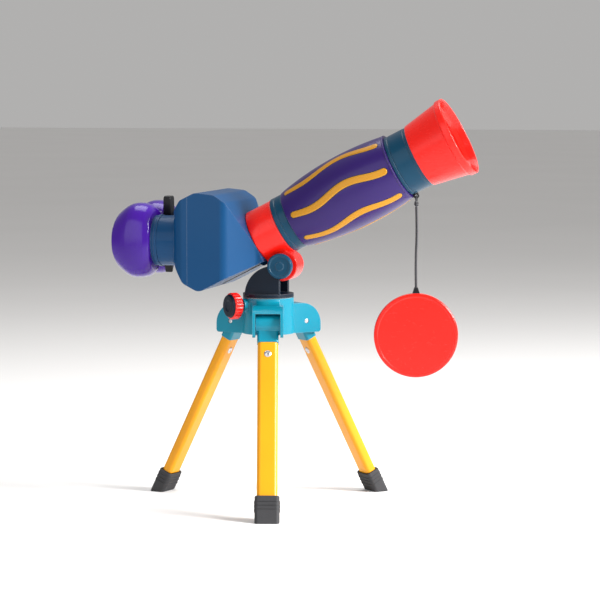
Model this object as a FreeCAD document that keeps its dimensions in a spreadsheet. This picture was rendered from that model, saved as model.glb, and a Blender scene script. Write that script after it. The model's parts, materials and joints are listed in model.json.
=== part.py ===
import FreeCAD, Part
import math
import os
import Sketcher
from FreeCAD import Placement, Rotation, Vector

# A toy telescope with a twin-eye viewer on a three-leg table tripod.
# Frame: X forward along the telescope, Z up, origin on the floor under the pan axis. Millimetres and degrees.

doc = FreeCAD.newDocument("Telescope")
sheet = doc.addObject("Spreadsheet::Sheet", "Sizes")

TABLE = [
    ("elevation", 27, "tube above horizontal at rest"),
    ("run_clear", 0.05, "radial clearance of a turning shaft"),
    ("seat_clear", 0.1, "clearance of a push fit"),
    ("leg_splay", 27, "leg from vertical, opened"),
    ("leg_azimuth", 44, "first leg's direction"),
    ("leg_reach", 212, "hinge pin to floor along a leg"),
    ("leg_wide", 21, "leg section across"),
    ("leg_thick", 11.6, "leg section in its fold plane"),
    ("leg_wall", 2, "leg tube wall"),
    ("leg_start", 21, "hinge pin to the leg tube"),
    ("hinge_radius", 37, "hinge pins from the pan axis"),
    ("hinge_pin", 2.5, "hinge pin radius"),
    ("knuckle_wide", 25, "knuckle width"),
    ("knuckle_radius", 11, "knuckle barrel radius"),
    ("tongue_long", 26, "knuckle tongue inside the leg"),
    ("knuckle_gap", 0.35, "knuckle to ear, each side"),
    ("ear_wall", 3, "ear thickness"),
    ("ear_reach", 54, "ears from the pan axis"),
    ("ear_high", 31, "ears above the crown's underside"),
    ("foot_wall", 2, "rubber foot wall"),
    ("foot_long", 26, "rubber foot along the leg"),
    ("foot_cover", 12, "leg tube inside its foot"),
    ("rivet_radius", 2, "leg rivet"),
    ("crown_radius", 26.5, "crown and turntable"),
    ("crown_high", 37.5, "crown height"),
    ("crown_floor", 8, "crown floor thickness"),
    ("pin_rise", 12, "hinge pins above the crown's underside"),
    ("spigot_radius", 14, "turntable spigot"),
    ("pan_bolt_radius", 3, "pan bolt"),
    ("bearing_thick", 0.6, "bearing washer"),
    ("flange_thick", 4, "turntable flange"),
    ("knob_rise", 30, "knob axis above the crown's underside"),
    ("knob_start", 36.4, "knob's inner face from the pan axis"),
    ("knob_long", 9, "knob grip length"),
    ("knob_radius", 13.7, "knob grip"),
    ("knob_cap_thick", 2.6, "knob end cap"),
    ("lock_radius", 3, "lock screw"),
    ("pivot_forward", 18.4, "tilt pivot ahead of the pan axis"),
    ("pivot_rise", 33.5, "tilt pivot above the flange's underside"),
    ("cheek_inner", 15.3, "cheek inner face from the middle"),
    ("cheek_thick", 6, "cheek thickness"),
    ("cheek_head", 12, "cheek head radius"),
    ("cheek_back", 20, "cheek's rear edge behind the pan axis"),
    ("cheek_front", 17, "cheek's front edge ahead of the pan axis"),
    ("tilt_bolt_radius", 3, "tilt bolt"),
    ("disc_radius", 13.3, "tilt disc"),
    ("disc_thick", 5, "tilt disc thickness"),
    ("lug_radius", 16, "collar lug round the tilt bolt"),
    ("friction_washer", 0.8, "friction washer thickness"),
    ("axis_offset", 37.5, "tube axis above the tilt pivot"),
    ("collar_radius", 29, "mounting collar outside"),
    ("collar_front", 17.3, "collar's front along the tube"),
    ("collar_back", 12.6, "collar's rear, behind the foot point"),
    ("ring_front", 30.7, "rear ring's front"),
    ("ring_radius", 29.8, "rear ring outside"),
    ("tube_radius", 26, "main tube under the collar"),
    ("core_step", 2, "main tube's step up under the sleeve"),
    ("tube_wall", 2, "main tube wall"),
    ("sleeve_front", 153.7, "sleeve's front"),
    ("sleeve_back_radius", 30.8, "sleeve at the back"),
    ("sleeve_mid_radius", 39, "sleeve at its middle"),
    ("sleeve_front_radius", 35, "sleeve at the front"),
    ("head_radius", 32.5, "main tube ahead of the sleeve"),
    ("head_front", 178.4, "front of the tube's visible head"),
    ("spigot_long", 12, "tube spigot inside the hood"),
    ("hood_front", 224.2, "hood rim"),
    ("hood_back_radius", 33.5, "hood at the back"),
    ("hood_rim_radius", 42, "hood at the rim"),
    ("hood_rim_long", 7, "straight rim of the hood"),
    ("hood_wall", 2, "hood wall"),
    ("lens_radius", 28, "objective lens"),
    ("lens_edge", 3, "objective lens at its edge"),
    ("lens_crown", 2.5, "objective lens bulge, each face"),
    ("wave_count", 7, "wavy inlays round the sleeve"),
    ("wave_phase", 85, "first wavy inlay, turned from the top"),
    ("wave_wide", 7.4, "wavy inlay width"),
    ("wave_swing", 3.4, "wavy inlay side swing"),
    ("wave_inset", 9, "inlay ends to the sleeve's ends"),
    ("wave_depth", 1.2, "wavy inlay groove depth"),
    ("wave_proud", 0.5, "wavy inlay above the sleeve"),
    ("eye_rise", 25.5, "eye axis above the tilt pivot"),
    ("eye_spacing", 58, "between the eye axes"),
    ("case_half", 62, "housing half width"),
    ("case_top", 51, "housing above the eye axis"),
    ("case_back", 87, "housing's rear, behind the pan axis"),
    ("case_wall", 2.5, "housing wall"),
    ("case_split", 70, "split between shell and cover"),
    ("nose_radius", 27, "housing nose"),
    ("nose_drop", 25.5, "housing underside below the tube axis"),
    ("neck_radius", 26, "necks"),
    ("neck_bore", 15, "eyepiece bore radius"),
    ("neck_end", 112, "necks' rear end"),
    ("shade_long", 42, "eye shade depth"),
    ("shade_half", 62, "eye shade half width"),
    ("shade_high", 39, "eye shade half height"),
    ("shade_well", 25, "eye well radius"),
    ("shade_well_deep", 34, "eye well depth"),
    ("eyepiece_wall", 2, "eyepiece barrel wall"),
    ("eyepiece_back", 122, "eyepiece barrel's rear end"),
    ("eyepiece_front", 86, "eyepiece barrel's front end"),
    ("bracket_thick", 8, "bracket between the lobes"),
    ("case_screw", 1.5, "housing screws"),
    ("boss_radius", 5, "housing screw bosses"),
    ("tray_thick", 2, "optics tray"),
    ("tray_drop", 10, "tray's top below the eye axis"),
    ("prism_high", 20, "prisms and mirrors"),
    ("anchor_along", 156.6, "cord eyelet along the tube"),
    ("eyelet_half", 2.8, "eyelet half length along the tube"),
    ("loop_radius", 3, "cord loop"),
    ("cord_radius", 1.4, "cord"),
    ("knot_radius", 2.6, "knot under the loop"),
    ("cap_radius", 43.3, "lens cap outside"),
    ("cap_deep", 9, "lens cap depth"),
    ("cap_wall", 1.1, "lens cap wall"),
    ("cap_turn", -76, "direction the hanging cap faces"),
    ("cap_lug_wide", 7.6, "lug on the cap's edge"),
]
for row, (alias, amount, note) in enumerate(TABLE, start=1):
    sheet.set(f"A{row}", note)
    sheet.set(f"B{row}", str(amount))
    sheet.setAlias(f"B{row}", alias)
doc.recompute()


class Size:
    """A number together with the spreadsheet expression that gives it."""

    def __init__(self, number, text):
        self.number = number
        self.text = text

    def __add__(self, other):
        other = sized(other)
        return Size(self.number + other.number, f"({self.text} + {other.text})")

    def __sub__(self, other):
        other = sized(other)
        return Size(self.number - other.number, f"({self.text} - {other.text})")

    def __mul__(self, other):
        other = sized(other)
        return Size(self.number * other.number, f"({self.text} * {other.text})")

    def __truediv__(self, other):
        other = sized(other)
        return Size(self.number / other.number, f"({self.text} / {other.text})")

    def __radd__(self, other):
        return sized(other) + self

    def __rsub__(self, other):
        return sized(other) - self

    def __rmul__(self, other):
        return sized(other) * self

    def __neg__(self):
        return Size(-self.number, f"(0 - {self.text})")


def sized(amount):
    return amount if isinstance(amount, Size) else Size(float(amount), f"{float(amount)}")


def sine(angle):
    return Size(math.sin(math.radians(angle.number)), f"sin({angle.text})")


def cosine(angle):
    return Size(math.cos(math.radians(angle.number)), f"cos({angle.text})")


class Sheet:
    """The driving dimensions by name."""


s = Sheet()
for alias, amount, note in TABLE:
    setattr(s, alias, Size(float(amount), f"Sizes.{alias}"))


def bind(thing, **amounts):
    for name, amount in amounts.items():
        thing.setExpression(name, sized(amount).text)


# sketches and features

def plane_of(body, role):
    return next(f for f in body.Origin.OriginFeatures if f.Role == role)


def new_sketch(body, role, lift=0):
    sketch = body.newObject("Sketcher::SketchObject", "Sketch")
    sketch.AttachmentSupport = [(plane_of(body, role), "")]
    sketch.MapMode = "FlatFace"
    sketch.setExpression(".AttachmentOffset.Base.z", sized(lift).text)
    return sketch


def fix_point(sketch, element, end, x, y):
    """Ties one sketch point to the sketch's origin by two bound distances."""
    for kind, amount, axis in (("DistanceX", x, -2), ("DistanceY", y, -1)):
        amount = sized(amount)
        if amount.number == 0:
            sketch.addConstraint(Sketcher.Constraint("PointOnObject", element, end, axis))
            continue
        place = sketch.addConstraint(Sketcher.Constraint(kind, -1, 1, element, end, amount.number))
        sketch.setExpression(f"Constraints[{place}]", amount.text)


def add_outline(sketch, corners):
    """A closed outline: each corner is (x, y) or (x, y, radius)."""
    count = len(corners)
    points = [Vector(sized(c[0]).number, sized(c[1]).number, 0) for c in corners]
    arrive, leave = [], []
    for i, corner in enumerate(corners):
        back = (points[i - 1] - points[i]).normalize()
        ahead = (points[(i + 1) % count] - points[i]).normalize()
        radius = sized(corner[2]).number if len(corner) > 2 else 0
        cut = radius / math.tan(back.getAngle(ahead) / 2) if radius else 0
        arrive.append(points[i] + back * cut)
        leave.append(points[i] + ahead * cut)
    lines = [
        sketch.addGeometry(Part.LineSegment(leave[i], arrive[(i + 1) % count]), False)
        for i in range(count)
    ]
    for i, corner in enumerate(corners):
        before, after = lines[i - 1], lines[i]
        if len(corner) == 2:
            sketch.addConstraint(Sketcher.Constraint("Coincident", before, 2, after, 1))
            fix_point(sketch, after, 1, corner[0], corner[1])
            continue
        back = (points[i - 1] - points[i]).normalize()
        ahead = (points[(i + 1) % count] - points[i]).normalize()
        middle = (back + ahead).normalize()
        half = back.getAngle(ahead) / 2
        radius = sized(corner[2])
        centre = points[i] + middle * (radius.number / math.sin(half))
        angles = [math.atan2(p.y - centre.y, p.x - centre.x) for p in (arrive[i], leave[i])]
        start_end = (1, 2)
        if (angles[1] - angles[0]) % (2 * math.pi) > math.pi:
            angles.reverse()
            start_end = (2, 1)
        if angles[1] < angles[0]:
            angles[1] += 2 * math.pi
        circle = Part.Circle(centre, Vector(0, 0, 1), radius.number)
        arc = sketch.addGeometry(Part.ArcOfCircle(circle, angles[0], angles[1]), False)
        sketch.addConstraint(Sketcher.Constraint("Tangent", before, 2, arc, start_end[0]))
        sketch.addConstraint(Sketcher.Constraint("Tangent", arc, start_end[1], after, 1))
        size = sketch.addConstraint(Sketcher.Constraint("Radius", arc, radius.number))
        sketch.setExpression(f"Constraints[{size}]", radius.text)
        mark = sketch.addGeometry(Part.Point(points[i]), True)
        sketch.addConstraint(Sketcher.Constraint("PointOnObject", mark, 1, before))
        sketch.addConstraint(Sketcher.Constraint("PointOnObject", mark, 1, after))
        fix_point(sketch, mark, 1, corner[0], corner[1])


def add_circle(sketch, x, y, radius):
    radius = sized(radius)
    centre = Vector(sized(x).number, sized(y).number, 0)
    ring = sketch.addGeometry(Part.Circle(centre, Vector(0, 0, 1), radius.number), False)
    fix_point(sketch, ring, 3, x, y)
    size = sketch.addConstraint(Sketcher.Constraint("Radius", ring, radius.number))
    sketch.setExpression(f"Constraints[{size}]", radius.text)


def outline(body, role, corners, lift=0):
    sketch = new_sketch(body, role, lift)
    add_outline(sketch, corners)
    return sketch


def circles(body, role, rounds, lift=0):
    sketch = new_sketch(body, role, lift)
    for x, y, radius in rounds:
        add_circle(sketch, x, y, radius)
    return sketch


def pad(body, sketch, length, both_ways=False, flipped=False):
    feature = body.newObject("PartDesign::Pad", "Pad")
    feature.Profile = sketch
    bind(feature, Length=length)
    feature.SideType = "Symmetric" if both_ways else "One side"
    feature.Reversed = flipped
    return feature


def pocket(body, sketch, length, both_ways=False, flipped=False):
    feature = body.newObject("PartDesign::Pocket", "Pocket")
    feature.Profile = sketch
    bind(feature, Length=length)
    feature.SideType = "Symmetric" if both_ways else "One side"
    feature.Reversed = flipped
    return feature


def turn(body, corners, groove=False):
    """Revolves an outline of (along, radius) corners about the X axis."""
    sketch = outline(body, "XZ_Plane", corners)
    kind = "PartDesign::Groove" if groove else "PartDesign::Revolution"
    feature = body.newObject(kind, "Turn")
    feature.Profile = sketch
    feature.ReferenceAxis = (sketch, ["H_Axis"])
    feature.Angle = 360
    return feature


nodes = []


def keep(thing, label, place=None):
    thing.Label = label
    if place is not None:
        thing.Placement = place
    nodes.append(thing)
    return thing


def new_body(label, place=None):
    return keep(doc.addObject("PartDesign::Body", "Body"), label, place)


def solids(label, shapes):
    """Separate solids that share one node, such as a set of screws."""
    thing = doc.addObject("Part::Feature", "Solids")
    thing.Shape = shapes[0] if len(shapes) == 1 else Part.makeCompound(shapes)
    return keep(thing, label)


def about_z(angle):
    return Rotation(Vector(0, 0, 1), angle)


def about_y(angle):
    return Rotation(Vector(0, 1, 0), angle)


# places

pin_height = s.leg_reach * cosine(s.leg_splay)
core_radius = s.tube_radius + s.core_step
crown_base = pin_height - s.pin_rise
flange_base = crown_base + s.crown_high + s.bearing_thick
pivot_height = flange_base + s.pivot_rise
foot_point_x = s.pivot_forward - s.axis_offset * sine(s.elevation)
foot_point_z = pivot_height + s.axis_offset * cosine(s.elevation)
eye_height = pivot_height + s.eye_rise

crown_place = Placement(Vector(0, 0, crown_base.number), about_z(s.leg_azimuth.number))
head_place = Placement(Vector(0, 0, flange_base.number), Rotation())
tube_place = Placement(
    Vector(foot_point_x.number, 0, foot_point_z.number), about_y(-s.elevation.number)
)
eye_place = Placement(Vector(0, 0, eye_height.number), Rotation())
knob_place = Placement(
    Vector(0, 0, (crown_base + s.knob_rise).number), about_z(s.leg_azimuth.number + 180)
)


def leg_place(number):
    azimuth = s.leg_azimuth.number + 120 * number
    hinge = about_z(azimuth).multVec(Vector(s.hinge_radius.number, 0, pin_height.number))
    return Placement(hinge, about_z(azimuth).multiply(about_y(-s.leg_splay.number)))


# tripod

def make_crown():
    body = new_body("crown", crown_place)
    slot_wide = s.knuckle_wide + 2 * s.knuckle_gap
    pad(body, circles(body, "XY_Plane", [(0, 0, s.crown_radius)]), s.crown_high)
    ear = outline(body, "XZ_Plane", [
        (10, 0), (s.ear_reach, 0, 3), (s.ear_reach, s.ear_high, 22), (10, s.ear_high),
    ])
    ears = pad(body, ear, slot_wide + 2 * s.ear_wall, both_ways=True)
    slot_back = s.hinge_radius - s.knuckle_radius - 0.7
    slot_top = s.pin_rise + s.knuckle_radius + 1
    slot = outline(body, "XZ_Plane", [
        (slot_back, -1), (s.ear_reach + 2, -1), (s.ear_reach + 2, slot_top), (slot_back, slot_top, 3),
    ])
    slots = pocket(body, slot, slot_wide, both_ways=True)
    pin_hole = circles(body, "XZ_Plane", [(s.hinge_radius, s.pin_rise, s.hinge_pin)])
    holes = pocket(body, pin_hole, slot_wide + 4 * s.ear_wall, both_ways=True)
    doc.recompute()
    spread = body.newObject("PartDesign::PolarPattern", "Spread")
    spread.Originals = [ears, slots, holes]
    spread.Axis = (plane_of(body, "Z_Axis"), [""])
    spread.Angle = 360
    spread.Occurrences = 3
    body.Tip = spread
    doc.recompute()
    bore = circles(body, "XY_Plane", [(0, 0, s.spigot_radius + s.run_clear)], lift=s.crown_floor)
    pocket(body, bore, s.crown_high, flipped=True)
    bolt_hole = circles(body, "XY_Plane", [(0, 0, s.pan_bolt_radius + s.run_clear)])
    pocket(body, bolt_hole, s.crown_high, flipped=True)
    boss = circles(body, "YZ_Plane", [(0, s.knob_rise, s.lock_radius + 4)], lift=-s.crown_radius - 5)
    pad(body, boss, 10)
    lock_hole = circles(body, "YZ_Plane", [(0, s.knob_rise, s.lock_radius + s.run_clear)])
    pocket(body, lock_hole, s.crown_radius + 8)
    return body


def make_pan_parts():
    bearing = new_body("pan_bearing", crown_place)
    rims = [(0, 0, s.crown_radius - 1.5), (0, 0, s.spigot_radius + 2)]
    ring = circles(bearing, "XY_Plane", rims, s.crown_high)
    pad(bearing, ring, s.bearing_thick)
    bolt_long = s.crown_high + s.bearing_thick + s.flange_thick + 5
    bolt = new_body("pan_bolt", crown_place)
    pad(bolt, circles(bolt, "XY_Plane", [(0, 0, s.pan_bolt_radius)]), bolt_long)
    pad(bolt, circles(bolt, "XY_Plane", [(0, 0, s.pan_bolt_radius * 2.3)], lift=-3.5), 3.5)
    nut = new_body("pan_nut", head_place)
    nut_across = s.pan_bolt_radius * 1.9
    corner = nut_across * 0.57735
    hexagon = [
        (nut_across, corner), (0, corner * 2), (-nut_across, corner),
        (-nut_across, -corner), (0, -corner * 2), (nut_across, -corner),
    ]
    nut_sketch = outline(nut, "XY_Plane", hexagon, lift=s.flange_thick)
    add_circle(nut_sketch, 0, 0, s.pan_bolt_radius)
    pad(nut, nut_sketch, 4.5)


def make_leg(number):
    place = leg_place(number)
    name = str(number + 1)
    inner_wide = s.leg_wide - 2 * s.leg_wall - 2 * s.seat_clear
    inner_thick = s.leg_thick - 2 * s.leg_wall - 2 * s.seat_clear

    knuckle = new_body("leg_knuckle_" + name, place)
    pad(knuckle, circles(knuckle, "XZ_Plane", [(0, 0, s.knuckle_radius)]), s.knuckle_wide, both_ways=True)
    neck = box_outline(knuckle, s.leg_thick / 2 + 0.5, s.leg_wide / 2 + 0.5, 3, -s.leg_start)
    pad(knuckle, neck, s.leg_start - 5)
    tongue = box_outline(knuckle, inner_thick / 2, inner_wide / 2, 1, -s.leg_start - s.tongue_long)
    pad(knuckle, tongue, s.tongue_long + 1)
    bore = circles(knuckle, "XZ_Plane", [(0, 0, s.hinge_pin + s.run_clear)])
    pocket(knuckle, bore, s.knuckle_wide * 2, both_ways=True)
    rivet_drop = s.leg_start + s.tongue_long / 2
    hole = circles(knuckle, "YZ_Plane", [(0, -rivet_drop, s.rivet_radius)])
    pocket(knuckle, hole, s.leg_thick * 2, both_ways=True)

    leg = new_body("leg_" + name, place)
    leg_end = s.leg_reach - s.foot_long + s.foot_cover
    tube = box_outline(leg, s.leg_thick / 2, s.leg_wide / 2, 2.5, -leg_end)
    pad(leg, tube, leg_end - s.leg_start)
    inside = box_outline(leg, s.leg_thick / 2 - s.leg_wall, s.leg_wide / 2 - s.leg_wall, 1, -leg_end)
    pocket(leg, inside, leg_end - s.leg_start, flipped=True)
    hole = circles(leg, "YZ_Plane", [(0, -rivet_drop, s.rivet_radius)])
    pocket(leg, hole, s.leg_thick * 2, both_ways=True)

    rivet = new_body("leg_rivet_" + name, place)
    stem = circles(rivet, "YZ_Plane", [(0, -rivet_drop, s.rivet_radius)], -s.leg_thick / 2 - 0.8)
    pad(rivet, stem, s.leg_thick + 1.6)
    for side, lift in ((1, s.leg_thick / 2), (-1, -s.leg_thick / 2 - 1.2)):
        head = circles(rivet, "YZ_Plane", [(0, -rivet_drop, s.rivet_radius * 1.8)], lift)
        pad(rivet, head, 1.2)

    foot = new_body("foot_" + name, place)
    shoe = box_outline(
        foot, s.leg_thick / 2 + s.foot_wall, s.leg_wide / 2 + s.foot_wall, 3.5, -s.leg_reach - s.foot_long
    )
    pad(foot, shoe, 2 * s.foot_long)
    well = box_outline(foot, s.leg_thick / 2, s.leg_wide / 2, 2.5, -leg_end)
    pocket(foot, well, s.foot_long, flipped=True)
    wide = 20
    lean = math.tan(math.radians(s.leg_splay.number))
    slope = Size(lean, f"tan({s.leg_splay.text})")
    floor = outline(foot, "XZ_Plane", [
        (-wide, -s.leg_reach + wide * slope), (-wide, -s.leg_reach - 60), (wide, -s.leg_reach - 60),
        (wide, -s.leg_reach - wide * slope),
    ])
    pocket(foot, floor, s.leg_wide * 3, both_ways=True)


def box_outline(body, half_x, half_y, radius, lift):
    """A rounded rectangle round the local Z axis."""
    return outline(body, "XY_Plane", [
        (-half_x, -half_y, radius), (half_x, -half_y, radius),
        (half_x, half_y, radius), (-half_x, half_y, radius),
    ], lift)


def make_hinge_pins():
    long = (s.knuckle_wide + 2 * s.knuckle_gap + 2 * s.ear_wall).number
    pins = []
    for number in range(3):
        pin = Part.makeCylinder(s.hinge_pin.number, long, Vector(0, -long / 2, 0), Vector(0, 1, 0))
        pin.Placement = leg_place(number)
        pins.append(pin)
    solids("hinge_pins", pins)


def make_knob():
    screw = new_body("pan_lock_screw", knob_place)
    turn(screw, [
        (s.spigot_radius + 0.1, 0), (s.knob_start + 5, 0), (s.knob_start + 5, s.lock_radius),
        (s.spigot_radius + 0.1, s.lock_radius),
    ])
    knob = new_body("pan_knob", knob_place)
    end = s.knob_start + s.knob_long
    turn(knob, [
        (s.knob_start - 3, s.lock_radius), (s.knob_start - 3, s.lock_radius + 4),
        (s.knob_start, s.lock_radius + 4), (s.knob_start, s.knob_radius, 1.5), (end, s.knob_radius, 1),
        (end, s.knob_radius - 1.6), (end - 3, s.knob_radius - 1.6), (end - 3, 0), (s.knob_start + 5, 0),
        (s.knob_start + 5, s.lock_radius),
    ])
    cap = new_body("pan_knob_cap", knob_place)
    turn(cap, [
        (end - 3, 0), (end - 3, s.knob_radius - 1.6), (end + s.knob_cap_thick, s.knob_radius - 1.6, 1.2),
        (end + s.knob_cap_thick, 0),
    ])


# head

def make_yoke():
    yoke = new_body("tilt_yoke", head_place)
    pad(yoke, circles(yoke, "XY_Plane", [(0, 0, s.crown_radius)]), s.flange_thick)
    cheek_out = s.cheek_inner + s.cheek_thick
    web_round = s.cheek_back + s.cheek_front - 5
    web = outline(yoke, "XZ_Plane", [
        (-s.cheek_back, 2), (s.cheek_front, 2), (s.cheek_front, s.pivot_rise),
        (-s.cheek_back, s.pivot_rise, web_round * 0.97),
    ])
    pad(yoke, web, 2 * cheek_out, both_ways=True)
    head = circles(yoke, "XZ_Plane", [(s.pivot_forward, s.pivot_rise, s.cheek_head)])
    pad(yoke, head, 2 * cheek_out, both_ways=True)
    gap = outline(yoke, "XZ_Plane", [
        (-60, s.flange_thick), (60, s.flange_thick), (60, 80), (-60, 80),
    ])
    pocket(yoke, gap, 2 * s.cheek_inner, both_ways=True)
    bolt = circles(yoke, "XZ_Plane", [(s.pivot_forward, s.pivot_rise, s.tilt_bolt_radius)])
    pocket(yoke, bolt, 4 * cheek_out, both_ways=True)
    spigot_long = s.crown_high - s.crown_floor + s.bearing_thick - 1
    pad(yoke, circles(yoke, "XY_Plane", [(0, 0, s.spigot_radius)]), spigot_long, flipped=True)
    hole = circles(yoke, "XY_Plane", [(0, 0, s.pan_bolt_radius + s.run_clear)], lift=s.flange_thick + 1)
    pocket(yoke, hole, spigot_long + s.flange_thick + 2)


def make_tilt_parts():
    cheek_out = s.cheek_inner + s.cheek_thick
    pivot = Placement(Vector(s.pivot_forward.number, 0, pivot_height.number), Rotation())
    bolt = new_body("tilt_bolt", pivot)
    pad(bolt, circles(bolt, "XZ_Plane", [(0, 0, s.tilt_bolt_radius)]), 2 * cheek_out + 3, both_ways=True)
    for side, label in ((1, "tilt_disc_left"), (-1, "tilt_disc_right")):
        disc = new_body(label, pivot)
        face = cheek_out if side < 0 else -cheek_out
        pad(disc, circles(disc, "XZ_Plane", [(0, 0, s.disc_radius)], face), s.disc_thick, flipped=side > 0)
        doc.recompute()
        well = circles(disc, "XZ_Plane", [(0, 0, s.tilt_bolt_radius)], face)
        pocket(disc, well, 1.5, flipped=side < 0)
    rings = []
    for side in (1, -1):
        start = Vector(s.pivot_forward.number, side * s.cheek_inner.number, pivot_height.number)
        thick = s.friction_washer.number
        ring = Part.makeCylinder(10, thick, start, Vector(0, -side, 0))
        hole = Part.makeCylinder(s.tilt_bolt_radius.number, thick, start, Vector(0, -side, 0))
        rings.append(ring.cut(hole))
    solids("friction_washers", rings)


# tube, along the local X axis

def make_collar():
    collar = new_body("mount_collar", tube_place)
    turn(collar, [
        (-s.collar_back, 0), (-s.collar_back, s.collar_radius, 1.5),
        (s.collar_front, s.collar_radius, 1.5), (s.collar_front, 0),
    ])
    half = s.cheek_inner - s.friction_washer
    lug = circles(collar, "XZ_Plane", [(0, -s.axis_offset, s.lug_radius)])
    pad(collar, lug, 2 * half, both_ways=True)
    bore = circles(collar, "YZ_Plane", [(0, 0, s.tube_radius + s.seat_clear)], lift=-s.axis_offset)
    pocket(collar, bore, s.axis_offset * 2, flipped=True)
    hole = circles(collar, "XZ_Plane", [(0, -s.axis_offset, s.tilt_bolt_radius + s.run_clear)])
    pocket(collar, hole, 4 * half, both_ways=True)


def make_tube():
    tube = new_body("main_tube", tube_place)
    back = -s.collar_back - 9
    bore = s.tube_radius - s.tube_wall
    lens_seat = s.head_front - 3
    turn(tube, [
        (back, bore), (back, s.tube_radius), (s.ring_front, s.tube_radius), (s.ring_front, core_radius),
        (s.sleeve_front, core_radius), (s.sleeve_front, s.head_radius, 1), (s.head_front, s.head_radius),
        (s.head_front, s.lens_radius + 2.2), (s.head_front + s.spigot_long, s.lens_radius + 2.2),
        (s.head_front + s.spigot_long, s.lens_radius + s.seat_clear),
        (lens_seat, s.lens_radius + s.seat_clear), (lens_seat, bore),
    ])
    ring = new_body("rear_ring", tube_place)
    turn(ring, [
        (s.collar_front, s.tube_radius + s.seat_clear), (s.collar_front, s.ring_radius, 1.2),
        (s.ring_front, s.ring_radius, 1.2), (s.ring_front, s.tube_radius + s.seat_clear),
    ])
    baffle = new_body("light_baffle", tube_place)
    middle = (s.ring_front + s.sleeve_front) / 2
    turn(baffle, [
        (middle, 18), (middle, bore), (middle + 8, bore), (middle + 8, bore - 1), (middle + 1, bore - 1),
        (middle + 1, 18),
    ])
    eyelet = new_body("cord_eyelet", tube_place)
    near = s.anchor_along - s.eyelet_half
    far = s.anchor_along + s.eyelet_half
    foot = -s.head_radius - 0.05
    tip = -s.head_radius - 5.5
    lug = outline(eyelet, "XZ_Plane", [(near, foot), (far, foot), (far, tip, 2.7), (near, tip, 2.7)])
    add_circle(lug, s.anchor_along, -s.head_radius - 2.8, 1.5)
    pad(eyelet, lug, 2.4, both_ways=True)


def sleeve_profile(rise):
    """The sleeve's barrel line, raised along the radius."""
    back = Vector(s.ring_front.number, 0, s.sleeve_back_radius.number + rise)
    middle = Vector((s.ring_front + s.sleeve_front).number * 0.56, 0, s.sleeve_mid_radius.number + rise)
    front = Vector(s.sleeve_front.number, 0, s.sleeve_front_radius.number + rise)
    return Part.Arc(back, middle, front).toShape()


def sleeve_shell(inner, outer):
    """A solid of revolution between two raised barrel lines."""
    low, high = sleeve_profile(inner), sleeve_profile(outer)
    ends = [
        Part.LineSegment(low.Vertexes[i].Point, high.Vertexes[i].Point).toShape() for i in (0, 1)
    ]
    face = Part.Face(Part.Wire([low, ends[1], high, ends[0]]))
    return face.revolve(Vector(0, 0, 0), Vector(1, 0, 0), 360)


def wave_prism():
    """A wavy strip along the sleeve, extruded upwards through it."""
    start = (s.ring_front + s.wave_inset).number
    end = (s.sleeve_front - s.wave_inset).number
    swing = s.wave_swing.number
    half = s.wave_wide.number / 2
    steps = 12
    sides = []
    for side in (half, -half):
        points = []
        for i in range(steps + 1):
            part = i / steps
            lean = 2 * math.pi * 1.25 * part
            points.append(Vector(start + (end - start) * part, swing * math.sin(lean) + side, 0))
        curve = Part.BSplineCurve()
        curve.interpolate(points)
        sides.append(curve)
    edges = [side.toShape() for side in sides]
    for i, push in ((0, -half), (-1, half)):
        upper = edges[0].Vertexes[i].Point
        lower = edges[1].Vertexes[i].Point
        tip = (upper + lower) * 0.5 + Vector(push, 0, 0)
        edges.append(Part.Arc(upper, tip, lower).toShape())
    wire = Part.Wire(Part.__sortEdges__(edges))
    face = Part.Face(wire)
    face.translate(Vector(0, 0, 15))
    return face.extrude(Vector(0, 0, 40))


def make_sleeve():
    body = sleeve_shell(0, -1)
    core = Part.makeCylinder(
        core_radius.number + s.seat_clear.number, 400, Vector(-100, 0, 0), Vector(1, 0, 0)
    )
    start = Vector(s.ring_front.number, 0, 0)
    along = Vector(1, 0, 0)
    length = (s.sleeve_front - s.ring_front).number
    ends = Part.makeCylinder(s.sleeve_mid_radius.number + 5, length, start, along)
    spine = Part.makeCylinder(5, length, start, along)
    full = sleeve_shell(0, -s.sleeve_back_radius.number + 1).fuse(spine)
    sleeve = full.common(ends).cut(core)
    skin = sleeve_shell(-s.wave_depth.number, s.wave_proud.number)
    strip = wave_prism().common(skin).Solids[0]
    strips = []
    for i in range(int(s.wave_count.number)):
        copy = strip.copy()
        copy.rotate(
            Vector(0, 0, 0), Vector(1, 0, 0), s.wave_phase.number + i * 360 / s.wave_count.number
        )
        strips.append(copy)
    sleeve = sleeve.cut(Part.makeCompound(strips))
    for label, shape in (("barrel_sleeve", sleeve), ("sleeve_waves", Part.makeCompound(strips))):
        thing = doc.addObject("Part::Feature", "Sleeve")
        thing.Shape = shape.Solids[0] if len(shape.Solids) == 1 else shape
        keep(thing, label, tube_place)


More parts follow.
